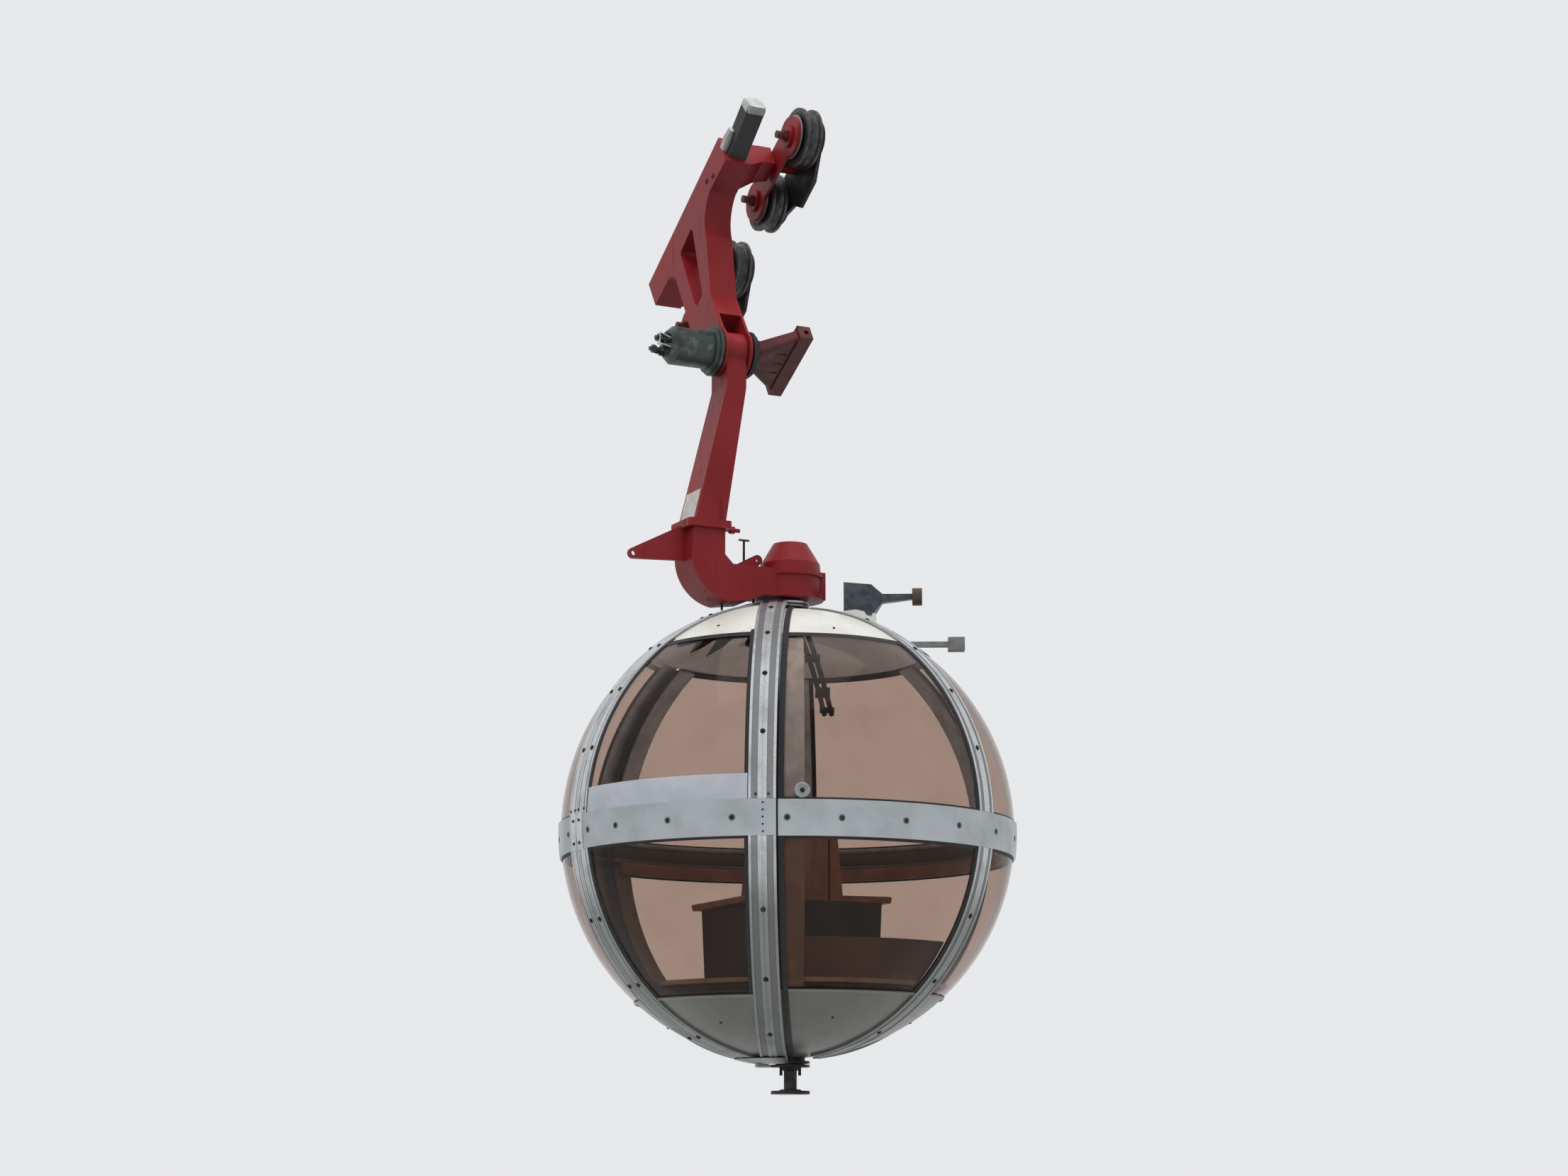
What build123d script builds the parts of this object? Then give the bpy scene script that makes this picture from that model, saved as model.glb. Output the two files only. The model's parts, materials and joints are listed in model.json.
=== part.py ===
from build123d import *

# A round gondola cabin on a bicable line: four grooved sheaves run on a fixed track rope, and a clamp
# holds the moving haul rope below it. The origin is the point of the track rope at mid-carriage,
# +Y is horizontal and downhill, +X is across the line and +Z is up. All sizes are in millimetres.

import os
from math import acos, asin, cos, degrees, radians, sin, sqrt

os.makedirs("parts", exist_ok=True)

# The line
rope_slope = 30
track_rope_r = 21
haul_rope_r = 14
rope_spacing = 780
hang_height = 2440

# Clearances
running_fit = 0.05
seat_gap = 0.3
swing_gap = 6

# Sheaves and their trucks
sheave_r = 155
groove_depth = 18
sheave_width = 84
sheave_web = 22
sheave_hub_r = 46
sheave_hub_width = 96
sheave_hole_r = 17
sheave_holes = 6
axle_r = 20
axle_reach = 152
nut_r = 32
nut_height = 24
truck_wheelbase = 460
truck_spacing = 954
truck_inner = 124
cheek_t = 18
cheek_end_r = 106
cheek_waist = 150
truck_pivot_rise = 32
truck_pin_r = 32
boss_r = 58
boss_height = 14
guard_drop = 46

# Carriage frame
frame_x = -350
frame_width = 150
fork_plate = 14
frame_top = 196
frame_tail_top = 157
frame_uphill = 588
frame_tail = 440
frame_under = 10
bar_under = 28
strut_downhill = 170
strut_uphill = 101
strut_foot = 120
hub_r = 128
fork_depth = 300
window_bar = 62
window_depth = 400
window_foot = 90
beam_end_gap = 10
buffer_length = 285
buffer_width = 98
buffer_height = 92
buffer_root = 102
buffer_tip = 150

# Pivot, grip cylinder and haul-rope clamp
shaft_r = 45
flange_r = 130
flange_t = 46
cylinder_r = 98
cylinder_length = 232
rod_r = 11
rod_reach = 78
disc_r = 122
disc_t = 54
clamp_neck_r = 64
clamp_length = 430
clamp_height = 84
clamp_rib = 16

# Hanger
head_width = 110
head_r = 104
column_depth = 180
arm_depth = 206
joint_rise = 336
joint_left = -586
joint_right = -416
joint_flange_t = 20
joint_flange_lip = 34
beam_clearance = 11
beam_depth = 142
beam_end = 150
beam_fillet = 45
elbow_x = -400
elbow_drop = 51
elbow_start = 194
elbow_bulge = 14
elbow_r = 235
bell_r = 158
bell_top_r = 88
bell_rise = 294
bell_shoulder = 186
bell_collar = 114
bell_lip = 12
horn_eye_x = -875
horn_rise = 168
horn_end_r = 27
horn_hole_r = 13
horn_t = 24
post_x = -243
post_y = 40
post_r = 6
post_height = 155
post_head = 56
post_head_t = 8
gusset_root_x = -345
gusset_boss_x = -191
gusset_boss_r = 27
gusset_rise = 52
gusset_eye_r = 9
tag_width = 96
tag_height = 150
tag_t = 3

# Cabin shell
glass_r = 1120
wall_t = 8
strip_t = 12
band_half = 85
pane_lap = 10
pane_margin = 0.25
roof_height = 230
pan_height = 290
rib_width = 130
rib_groove = 3
rib_lip = 14
rib_land = 44
jamb_width = 46
jamb_step = 4
pole_r = 160
door_edge = 30
backing_width = 120
backing_t = 14
backing_inset = 3.5
ring_half = 85

# Door leaves
ring_clearance = 3
leaf_gap = 6
meeting_stile = 96
splice_t = 3
leaf_ring_r = 120
leaf_ring_t = 12
stile_stop = 206
crown_r = 262
crown_t = 4
ring_overlap = 14
tongue_margin = 1.4
king_r = 45
king_collar_r = 72

# Underside and roof fittings
stem_r = 32
stem_length = 125
stem_disc_r = 96
stem_disc_t = 16
roller_r = 37
roller_t = 5
roller_level = 172
sill_height = 150
sill_t = 6
lever_foot = 115
lever_foot_sunk = 180
lever_heading = 60
lever_roller_r = 45
lever_roller_t = 50
latch_heading = 62
latch_root = 600
latch_tip = 884

# Inside
floor_step = 60
floor_t = 20
floor_joist_r = 600
floor_joist_t = 24
bench_length = 840
bench_depth = 270
seat_top = -350
seat_depth = 340
seat_t = 28
back_top = 60
back_lean = 46
rail_inset = 50
rail_level = -120
rail_height = 64
rail_t = 20
kick_height = 180
kick_t = 12
kick_inset = 30

# Directions of the sloping line, and the cabin's centre straight below the pivot
along = Vector(0, cos(radians(rope_slope)), -sin(radians(rope_slope)))
above = Vector(0, sin(radians(rope_slope)), cos(radians(rope_slope)))
pivot = above * -rope_spacing
cabin = pivot - Vector(0, 0, hang_height)
polar_axis = Axis(cabin, (0, 0, 1))
axle_height = track_rope_r + sheave_r - groove_depth
truck_pivot = axle_height + truck_pivot_rise
frame_left = frame_x - frame_width / 2
frame_right = frame_x + frame_width / 2
cheek_outer = truck_inner / 2 + cheek_t

# Radii of the shell's layers, and levels above the cabin's centre
inner_r = glass_r - wall_t
strip_in = glass_r + seat_gap
strip_out = glass_r + strip_t
roof_rim = glass_r - roof_height
floor_rim = glass_r - pan_height
floor_level = floor_step - floor_rim
ring_low = strip_out + ring_clearance
rings = (ring_low, ring_low + leaf_ring_t + swing_gap)
beam_under = rings[1] + leaf_ring_t + beam_clearance
beam_top = beam_under + beam_depth
joint_height = beam_under + joint_rise
horn_level = beam_under + horn_rise


def side_plane(x):
    """A plane across the line at x, where local x runs down the rope and local y away from it."""
    return Plane(origin=(x, 0, 0), x_dir=along, z_dir=(1, 0, 0))


def front_plane(y=0):
    """A vertical plane at the cabin, seen from uphill, where local y is up from its centre."""
    return Plane(origin=cabin + Vector(0, y, 0), x_dir=(1, 0, 0), z_dir=(0, -1, 0))


def heading(azimuth):
    """The level direction at an azimuth that is counted from uphill towards +X."""
    return Vector(sin(radians(azimuth)), -cos(radians(azimuth)), 0)


def meridian(azimuth, rise=0):
    """The upright plane through the cabin's axis, where local x points out at the azimuth."""
    out = heading(azimuth)
    return Plane(origin=cabin + Vector(0, 0, rise), x_dir=out, z_dir=out.cross(Vector(0, 0, 1)))


def rib_plane(azimuth, elevation):
    """A plane across a rib, where local x goes sideways and local y points out of the sphere."""
    out, side = heading(azimuth), heading(azimuth + 90)
    lean = radians(elevation)
    return Plane(origin=cabin, x_dir=side, z_dir=out * sin(lean) - Vector(0, 0, cos(lean)))


def level(height):
    """A horizontal plane at a height above the cabin's centre."""
    return Plane(origin=cabin + Vector(0, 0, height))


def wall_outline(inner, outer, low, high):
    """The section of a ball's wall between two levels, as two arcs and two level lines."""
    a_low, a_high = degrees(asin(low / outer)), degrees(asin(high / outer))
    b_low, b_high = degrees(asin(low / inner)), degrees(asin(high / inner))
    with BuildLine() as outline:
        CenterArc((0, 0), outer, a_low, a_high - a_low)
        CenterArc((0, 0), inner, b_low, b_high - b_low)
        Line((sqrt(inner**2 - low**2), low), (sqrt(outer**2 - low**2), low))
        Line((sqrt(inner**2 - high**2), high), (sqrt(outer**2 - high**2), high))
    return outline.edges()


def dome_outline(inner, outer, rim, hole):
    """The section of a dome from its rim up to a round hole at the pole."""
    a_low, a_high = degrees(asin(rim / outer)), degrees(acos(hole / outer))
    b_low, b_high = degrees(asin(rim / inner)), degrees(acos(hole / inner))
    with BuildLine() as outline:
        CenterArc((0, 0), outer, a_low, a_high - a_low)
        CenterArc((0, 0), inner, b_low, b_high - b_low)
        Line((sqrt(inner**2 - rim**2), rim), (sqrt(outer**2 - rim**2), rim))
        Line((hole, sqrt(inner**2 - hole**2)), (hole, sqrt(outer**2 - hole**2)))
    return outline.edges()


def on_ball(sideways, radius):
    """The point of a rib's section that lies sideways on a ball of this radius."""
    return (sideways, sqrt(radius**2 - sideways**2))


def strip_outline(left, right, inner, outer, groove=0):
    """A cover strip whose inner face follows the ball, with two grooves along its outer face."""
    middle = (left + right) / 2
    land = min(rib_land, (right - left) / 3) / 2
    corners = [(left, outer)]
    if groove:
        corners += [
            (left + rib_lip, outer), (left + rib_lip, outer - groove),
            (middle - land, outer - groove), (middle - land, outer), (middle + land, outer),
            (middle + land, outer - groove), (right - rib_lip, outer - groove),
            (right - rib_lip, outer),
        ]
    corners.append((right, outer))
    with BuildLine() as outline:
        if groove:
            Polyline(*[on_ball(*corner) for corner in corners])
        else:
            ThreePointArc(on_ball(left, outer), on_ball(middle, outer), on_ball(right, outer))
        Line(on_ball(right, outer), on_ball(right, inner))
        ThreePointArc(on_ball(right, inner), on_ball(middle, inner), on_ball(left, inner))
        Line(on_ball(left, inner), on_ball(left, outer))
    return outline.edges()


def save(piece, name):
    piece.label = name
    export_step(piece, f"parts/{name}.step")


# Carriage frame: a tail and a top bar along the rope, and a strut down to the pivot
with BuildPart() as carriage_frame:
    with BuildSketch(side_plane(frame_left)) as outline:
        with BuildLine():
            corner = Polyline(
                (strut_downhill, -frame_under - 80), (strut_downhill, -460),
                (strut_foot, -rope_spacing + 45), (strut_foot, -rope_spacing - 20),
                (-strut_foot, -rope_spacing - 20), (-strut_uphill, -470),
                (-strut_uphill - 118, -150),
            )
            bow = ThreePointArc(corner @ 1, (-strut_uphill - 174, -30), (-strut_uphill - 270, bar_under))
            bar = Polyline(
                bow @ 1, (-frame_uphill, bar_under), (-frame_uphill, frame_top + 4),
                (frame_tail, frame_tail_top), (frame_tail - 7, -frame_under),
                (strut_downhill + 75, -frame_under),
            )
            ThreePointArc(bar @ 1, (strut_downhill + 22, -frame_under - 24), corner @ 0)
        make_face()
        with Locations((0, -rope_spacing)):
            Circle(hub_r)
        with BuildLine(mode=Mode.PRIVATE) as window:
            FilletPolyline((-118, 24), (window_bar, 6), (window_bar, -window_depth),
                          (window_bar - window_foot, -window_depth), radius=24, close=True)
        make_face(window.edges(), mode=Mode.SUBTRACT)
    extrude(amount=frame_width)
    with BuildSketch(side_plane(frame_left + fork_plate)):
        with Locations((0, -rope_spacing - hub_r + fork_depth / 2)):
            Rectangle(3 * hub_r, fork_depth)
    extrude(amount=frame_width - 2 * fork_plate, mode=Mode.SUBTRACT)
    with BuildSketch(side_plane(frame_left)):
        with Locations((0, -rope_spacing)):
            Circle(shaft_r)
    extrude(amount=frame_width, mode=Mode.SUBTRACT)
save(carriage_frame.part, "carriage_frame")

# Cross beams from the frame to the truck pivots.
# Columns: name, truck side, root centre along and above the rope, root length and height, tip size
beams = (
    ("cross_beam_upper", -1, -494, 112, 176, 160, 124),
    ("cross_beam_lower", 1, 372, 70, 116, 140, 124),
)
beam_tip = -cheek_outer - beam_end_gap
for name, side, root_s, root_q, root_length, root_height, tip in beams:
    with BuildPart() as beam:
        with BuildSketch(side_plane(frame_right)):
            with Locations((root_s, root_q)):
                Rectangle(root_length, root_height)
        with BuildSketch(side_plane((frame_right + beam_tip) / 2)):
            with Locations(((root_s + side * truck_spacing / 2) / 2, (root_q + truck_pivot) / 2 + 10)):
                Rectangle((root_length + tip) / 2, (root_height + tip) / 2 - 16)
        with BuildSketch(side_plane(beam_tip)):
            with Locations((side * truck_spacing / 2, truck_pivot)):
                Rectangle(tip, tip)
        loft(ruled=True)
        with BuildSketch(side_plane(beam_tip)):
            with Locations((side * truck_spacing / 2, truck_pivot)):
                Circle(truck_pin_r)
        extrude(amount=-beam_tip + cheek_outer + 6)
    save(beam.part, name)

# End buffer that stands out uphill from the top bar
with BuildPart() as end_buffer:
    with BuildSketch(Plane(origin=along * -frame_uphill, x_dir=(1, 0, 0), z_dir=-along)):
        with Locations((frame_x, buffer_root)):
            Rectangle(buffer_width, buffer_height)
    with BuildSketch(Plane(origin=along * -(frame_uphill + buffer_length), x_dir=(1, 0, 0),
                           z_dir=-along)):
        with Locations((frame_x, buffer_tip)):
            Rectangle(buffer_width, buffer_height)
    loft(ruled=True)
    chamfer(end_buffer.faces().sort_by(Axis(origin=(0, 0, 0), direction=-along))[-1].edges(), 8)
save(end_buffer.part, "end_buffer")

# Pivot shaft through the fork and the hanger's head, with the disc on its clamp side
shaft_end = frame_right + disc_t
with BuildPart() as pivot_shaft:
    with BuildSketch(side_plane(frame_left)):
        with Locations((0, -rope_spacing)):
            Circle(shaft_r)
    extrude(amount=frame_width)
save(pivot_shaft.part, "pivot_shaft")

with BuildPart() as pivot_disc:
    with BuildSketch(Plane(origin=pivot, x_dir=(1, 0, 0), z_dir=(0, -1, 0))):
        with BuildLine():
            Polyline(
                (frame_right, 0), (frame_right, disc_r - 22), (frame_right + 14, disc_r),
                (shaft_end - 22, disc_r), (shaft_end - 22, disc_r - 12), (shaft_end - 8, disc_r - 12),
                (shaft_end, disc_r - 30), (shaft_end, 0), close=True,
            )
        make_face()
    revolve(axis=Axis(pivot, (1, 0, 0)))
save(pivot_disc.part, "pivot_disc")

# Clamp that reaches out to the haul rope and spreads along it
jaw_half = haul_rope_r + 30
with BuildPart() as haul_clamp:
    with BuildSketch(side_plane(shaft_end)):
        with Locations((0, -rope_spacing)):
            RectangleRounded(2 * clamp_neck_r, 1.6 * clamp_neck_r, 0.5 * clamp_neck_r)
    with BuildSketch(side_plane(-jaw_half)):
        with Locations((0, -rope_spacing)):
            RectangleRounded(clamp_length - 40, clamp_height - 16, 0.3 * clamp_neck_r)
    loft()
    with BuildSketch(side_plane(-jaw_half)):
        with Locations((0, -rope_spacing)):
            Rectangle(clamp_length, clamp_height)
    extrude(amount=jaw_half + haul_rope_r + 16)
    with BuildSketch(Plane(origin=above * (clamp_height / 2 - rope_spacing), x_dir=(1, 0, 0),
                           z_dir=above)):
        with Locations(*[(shaft_end / 2 - jaw_half / 2 - 2, s) for s in (-66, 0, 66)]):
            Rectangle(-shaft_end - jaw_half - 30, clamp_rib)
    extrude(amount=-clamp_height)
    with BuildSketch(Plane(origin=pivot + along * clamp_length, x_dir=(1, 0, 0), z_dir=-along)):
        Circle(haul_rope_r)
    extrude(amount=2 * clamp_length, mode=Mode.SUBTRACT)
save(haul_clamp.part, "haul_clamp")

# Grip cylinder on the outer side of the fork, and the two tie rods at its end
cylinder_end = frame_left - flange_t - cylinder_length
with BuildPart() as grip_cylinder:
    with BuildSketch(Plane(origin=pivot, x_dir=(1, 0, 0), z_dir=(0, -1, 0))):
        with BuildLine():
            Polyline(
                (frame_left, 0), (frame_left, flange_r - 10), (frame_left - 12, flange_r),
                (frame_left - 26, flange_r), (frame_left - 26, flange_r - 12),
                (frame_left - flange_t, flange_r - 12), (frame_left - flange_t, cylinder_r),
                (cylinder_end + 30, cylinder_r), (cylinder_end, cylinder_r - 26),
                (cylinder_end, 0), close=True,
            )
        make_face()
    revolve(axis=Axis(pivot, (1, 0, 0)))
save(grip_cylinder.part, "grip_cylinder")

with BuildPart() as grip_rods:
    for place in (-40, 40):
        with BuildSketch(side_plane(cylinder_end)):
            with Locations((place, -rope_spacing)):
                Circle(rod_r)
        extrude(amount=-rod_reach)
        for start, height in ((0, 20), (44, 20)):
            with BuildSketch(side_plane(cylinder_end - start)):
                with Locations((place, -rope_spacing)):
                    RegularPolygon(2 * rod_r, 6)
            extrude(amount=-height)
save(grip_rods.part, "grip_rods")

# Trucks. Columns: name, place of its middle along the rope
trucks = (("upper", -truck_spacing / 2), ("lower", truck_spacing / 2))
for name, middle in trucks:
    axles = [(middle - truck_wheelbase / 2, axle_height), (middle + truck_wheelbase / 2, axle_height)]
    for cheek, start, towards in (("cheek", -truck_inner / 2, -1), ("back", truck_inner / 2, 1)):
        with BuildPart() as plate:
            with BuildSketch(side_plane(start)) as outline:
                with Locations(*axles):
                    Circle(cheek_end_r)
                with Locations((middle, axle_height + 6)):
                    Rectangle(truck_wheelbase, cheek_waist)
                if cheek == "back":
                    with BuildLine(mode=Mode.PRIVATE) as guard:
                        Polyline(
                            (middle - 290, 92), (middle - 120, -guard_drop + 6),
                            (middle + 60, -guard_drop), (middle + 104, 18),
                            (middle + 290, 80), (middle, 170), close=True,
                        )
                    make_face(guard.edges())
                with Locations(*axles):
                    Circle(axle_r + running_fit, mode=Mode.SUBTRACT)
                with Locations((middle, truck_pivot)):
                    Circle(truck_pin_r + running_fit, mode=Mode.SUBTRACT)
            extrude(amount=towards * cheek_t)
            if cheek == "cheek":
                with BuildSketch(side_plane(start - cheek_t)):
                    with Locations(*axles):
                        Circle(boss_r)
                        Circle(axle_r + running_fit, mode=Mode.SUBTRACT)
                extrude(amount=-boss_height)
        save(plate.part, f"truck_{name}_{cheek}")
    with BuildPart() as pins:
        for place in axles:
            with BuildSketch(side_plane(-axle_reach)):
                with Locations(place):
                    Circle(axle_r)
            extrude(amount=axle_reach + cheek_outer)
            for start, thickness in (
                (-truck_inner / 2, truck_inner / 2 - sheave_hub_width / 2 - seat_gap),
                (sheave_hub_width / 2 + seat_gap, truck_inner / 2 - sheave_hub_width / 2 - seat_gap),
            ):
                with BuildSketch(side_plane(start)):
                    with Locations(place):
                        Circle(axle_r + 10)
                extrude(amount=thickness)
            for start, thickness in (
                (-cheek_outer - boss_height, -nut_height), (cheek_outer, nut_height),
            ):
                with BuildSketch(side_plane(start)):
                    with Locations(place):
                        RegularPolygon(nut_r, 6)
                extrude(amount=thickness)
    save(pins.part, f"truck_{name}_axles")

# Sheaves: a grooved rim, a thin web with holes, and a hub. Columns: name, place along the rope
sheaves = [
    (f"sheave_{2 * i + j + 1}", middle + (2 * j - 1) * truck_wheelbase / 2)
    for i, (_, middle) in enumerate(trucks) for j in (0, 1)
]
for name, place in sheaves:
    centre = along * place + above * axle_height
    with BuildPart() as sheave:
        with BuildSketch(Plane(origin=centre, x_dir=(1, 0, 0), z_dir=-along)):
            half, rim = sheave_width / 2, sheave_r - groove_depth
            groove = track_rope_r + 2
            inside = rim - 30
            with BuildLine():
                Polyline(
                    (-groove, rim + 3), (-groove - 6, sheave_r), (-half, sheave_r), (-half, inside),
                    (-sheave_web / 2, inside - 10), (-sheave_web / 2, sheave_hub_r + 8),
                    (-sheave_hub_width / 2, sheave_hub_r), (-sheave_hub_width / 2, axle_r + running_fit),
                    (sheave_hub_width / 2, axle_r + running_fit), (sheave_hub_width / 2, sheave_hub_r),
                    (sheave_web / 2, sheave_hub_r + 8), (sheave_web / 2, inside - 10),
                    (half, inside), (half, sheave_r), (groove + 6, sheave_r), (groove, rim + 3),
                )
                ThreePointArc((groove, rim + 3), (0, rim - 4), (-groove, rim + 3))
            make_face()
        revolve(axis=Axis(centre, (1, 0, 0)))
        with BuildSketch(Plane(origin=centre - Vector(half, 0, 0), x_dir=along, z_dir=(1, 0, 0))):
            with PolarLocations((sheave_hub_r + inside) / 2, sheave_holes):
                Circle(sheave_hole_r)
        extrude(amount=sheave_width, mode=Mode.SUBTRACT)
    save(sheave.part, name)

# Hanger: its outline from the front crossed with its outline from the side, and split at the joint
lean_top = hang_height - 200
head_left, head_right = frame_x - head_width / 2, frame_x + head_width / 2
front_left = ((head_left, hang_height + head_r), (head_left, lean_top), (joint_left, joint_height))
front_right = ((joint_right, joint_height), (head_right, lean_top),
               (head_right, hang_height + head_r))
lip_left = joint_left - joint_flange_lip
lip_width = joint_right - joint_left + 2 * joint_flange_lip
with BuildPart() as hanger_upper:
    with BuildSketch(front_plane(arm_depth)):
        with BuildLine():
            Polyline(*front_left, *front_right, close=True)
        make_face()
    extrude(amount=2 * arm_depth)
    with BuildSketch(Plane(origin=cabin + Vector(head_left - 400, 0, 0), x_dir=(0, 1, 0),
                           z_dir=(1, 0, 0))):
        with BuildLine():
            Polyline(
                (-column_depth / 2, hang_height), (-column_depth / 2, lean_top),
                (-arm_depth / 2, joint_height), (arm_depth / 2, joint_height),
                (column_depth / 2, lean_top), (column_depth / 2, hang_height), close=True,
            )
        make_face()
        with Locations((0, hang_height)):
            Circle(head_r)
    extrude(amount=1000, mode=Mode.INTERSECT)
    with BuildSketch(level(joint_height)):
        with Locations((lip_left + lip_width / 2, 0)):
            RectangleRounded(lip_width, arm_depth + joint_flange_lip, 20)
    extrude(amount=joint_flange_t)
    with BuildSketch(side_plane(head_left - 10)):
        with Locations((0, -rope_spacing)):
            Circle(shaft_r + running_fit)
    extrude(amount=head_width + 20, mode=Mode.SUBTRACT)
save(hanger_upper.part, "hanger_upper")

joint_under = joint_height - seat_gap
with BuildPart() as hanger_lower:
    with BuildSketch(front_plane(arm_depth / 2)) as outline:
        with BuildLine():
            l1 = Line((joint_right, joint_under), (joint_left, joint_under))
            l2 = Line(l1 @ 1, (joint_left - elbow_bulge, beam_under + elbow_start))
            l3 = RadiusArc(l2 @ 1, (elbow_x, beam_under - elbow_drop), -elbow_r)
            Polyline(
                l3 @ 1, (elbow_x + 130, beam_under - elbow_drop + 18),
                (elbow_x + 4 * elbow_drop, beam_under), (beam_end, beam_under),
                (beam_end, beam_top), (joint_right + beam_fillet, beam_top),
                (joint_right, beam_top + beam_fillet), l1 @ 0,
            )
        make_face()
    extrude(amount=arm_depth)
    with BuildSketch(level(joint_under)):
        with Locations((lip_left + lip_width / 2, 0)):
            RectangleRounded(lip_width, arm_depth + joint_flange_lip, 20)
    extrude(amount=-joint_flange_t)
    # The bell over the cabin's axis
    with BuildSketch(meridian(0, beam_under)):
        with BuildLine():
            Polyline(
                (0, 0), (bell_r + bell_lip, 0), (bell_r + bell_lip, 18), (bell_r, 18),
                (bell_r, bell_collar), (bell_r + bell_lip, bell_collar),
                (bell_r + bell_lip, bell_collar + 14), (bell_r, bell_collar + 14),
                (bell_r - 6, bell_shoulder), (bell_top_r, bell_rise), (0, bell_rise), close=True,
            )
        make_face()
    revolve(axis=polar_axis)
    # The horn plate with its eye
    with BuildSketch(front_plane(horn_t / 2)):
        with BuildLine():
            Polyline(
                (joint_left, joint_under - 4), (lip_left - 4, joint_under - 8),
                (horn_eye_x - horn_end_r / 2, horn_level + horn_end_r * 0.87),
                (horn_eye_x, horn_level - horn_end_r), (joint_left - 10, horn_level - horn_end_r / 2),
                close=True,
            )
        make_face()
        with Locations((horn_eye_x, horn_level)):
            Circle(horn_end_r)
            Circle(horn_hole_r, mode=Mode.SUBTRACT)
    extrude(amount=horn_t)
save(hanger_lower.part, "hanger_lower")

# White plate on the outer side of the column, parallel to the leaning face
column_run = Vector(joint_left - head_left, 0, joint_height - lean_top).normalized()
tag_out = Vector(column_run.Z, 0, -column_run.X)
tag_centre = cabin + Vector(joint_left, 0, joint_height) - column_run * (tag_height / 2 + 34)
with BuildPart() as number_plate:
    with BuildSketch(Plane(origin=tag_centre + tag_out * seat_gap, x_dir=(0, 1, 0), z_dir=tag_out)):
        RectangleRounded(tag_width, tag_height, 4)
    extrude(amount=tag_t)
save(number_plate.part, "number_plate")

# Post with a flat head, and a gusset with an eye, on top of the beam
with BuildPart() as beam_post:
    with BuildSketch(level(beam_top + seat_gap)):
        with Locations((post_x, post_y)):
            Circle(post_r)
    extrude(amount=post_height)
    with BuildSketch(level(beam_top + seat_gap + post_height)):
        with Locations((post_x, post_y)):
            Rectangle(post_head, 2 * post_r)
    extrude(amount=post_head_t)
save(beam_post.part, "beam_post")

with BuildPart() as beam_gusset:
    with BuildSketch(front_plane(12)):
        with BuildLine():
            Polyline(
                (gusset_root_x, beam_top + seat_gap),
                (gusset_boss_x - gusset_boss_r / 2, beam_top + gusset_rise + gusset_boss_r * 0.87),
                (gusset_boss_x + gusset_boss_r / 2, beam_top + gusset_rise),
                (gusset_boss_x, beam_top + seat_gap), close=True,
            )
        make_face()
        with Locations((gusset_boss_x, beam_top + gusset_rise)):
            Circle(gusset_boss_r)
            Circle(gusset_eye_r, mode=Mode.SUBTRACT)
    extrude(amount=24)
save(beam_gusset.part, "beam_gusset")

# King pins at both poles: they carry the shell, and the rings of both leaves turn on them
pin_levels = (
    (glass_r - wall_t - 40, king_collar_r + 40), (glass_r - wall_t - 6, king_collar_r + 40),
    (glass_r - wall_t - 6, king_r), (glass_r, king_r), (glass_r, king_collar_r),
    (rings[0] - seat_gap, king_collar_r), (rings[0] - seat_gap, king_r),
    (rings[0] + leaf_ring_t + seat_gap, king_r),
    (rings[0] + leaf_ring_t + seat_gap, king_collar_r), (rings[1] - seat_gap, king_collar_r),
    (rings[1] - seat_gap, king_r),
)
with BuildPart() as king_pin:
    with BuildSketch(meridian(0)):
        with BuildLine():
            Polyline(
                (0, pin_levels[0][0]), *[(r, z) for z, r in pin_levels],
                (king_r, beam_under), (0, beam_under), close=True,
            )
        make_face()
    revolve(axis=polar_axis)
save(king_pin.part, "king_pin")

foot_end = rings[1] + leaf_ring_t + swing_gap
stem_drop = foot_end + stem_length
with BuildPart() as bottom_coupling:
    with BuildSketch(meridian(0)):
        with BuildLine():
            Polyline(
                (0, -pin_levels[0][0]), *[(r, -z) for z, r in pin_levels],
                (king_r, -foot_end), (stem_r, -foot_end - 14), (stem_r, -stem_drop + stem_disc_t),
                (stem_disc_r, -stem_drop + stem_disc_t), (stem_disc_r, -stem_drop), (0, -stem_drop),
                close=True,
            )
        make_face()
    revolve(axis=polar_axis)
save(bottom_coupling.part, "bottom_coupling")

# Shell of the cabin: roof, pan, panes and cover strips. The fixed part is 240 degrees wide.
with BuildPart() as roof_cap:
    with BuildSketch(meridian(0)):
        make_face(dome_outline(inner_r, glass_r, roof_rim, king_r + seat_gap))
    revolve(axis=polar_axis)
save(roof_cap.part, "roof_cap")

with BuildPart() as floor_pan:
    with BuildSketch(meridian(0)):
        make_face(dome_outline(inner_r, glass_r, floor_rim, king_r + seat_gap))
        mirror(about=Plane.XZ, mode=Mode.REPLACE)
    revolve(axis=polar_axis)
save(floor_pan.part, "floor_pan")

# Panes of the fixed part. Columns: name, lower edge, upper edge
pane_rows = (
    ("panes_upper", pane_lap, roof_rim - 0.5),
    ("panes_lower", -floor_rim + 0.5, -pane_lap),
)
fixed_bays = (-door_edge, door_edge, door_edge + 60, door_edge + 120)
for name, low, high in pane_rows:
    with BuildPart() as panes:
        for start in fixed_bays:
            with BuildSketch(meridian(start + pane_margin)):
                make_face(wall_outline(inner_r, glass_r, low, high))
            revolve(axis=polar_axis, revolution_arc=60 - 2 * pane_margin)
    save(panes.part, name)

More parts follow.
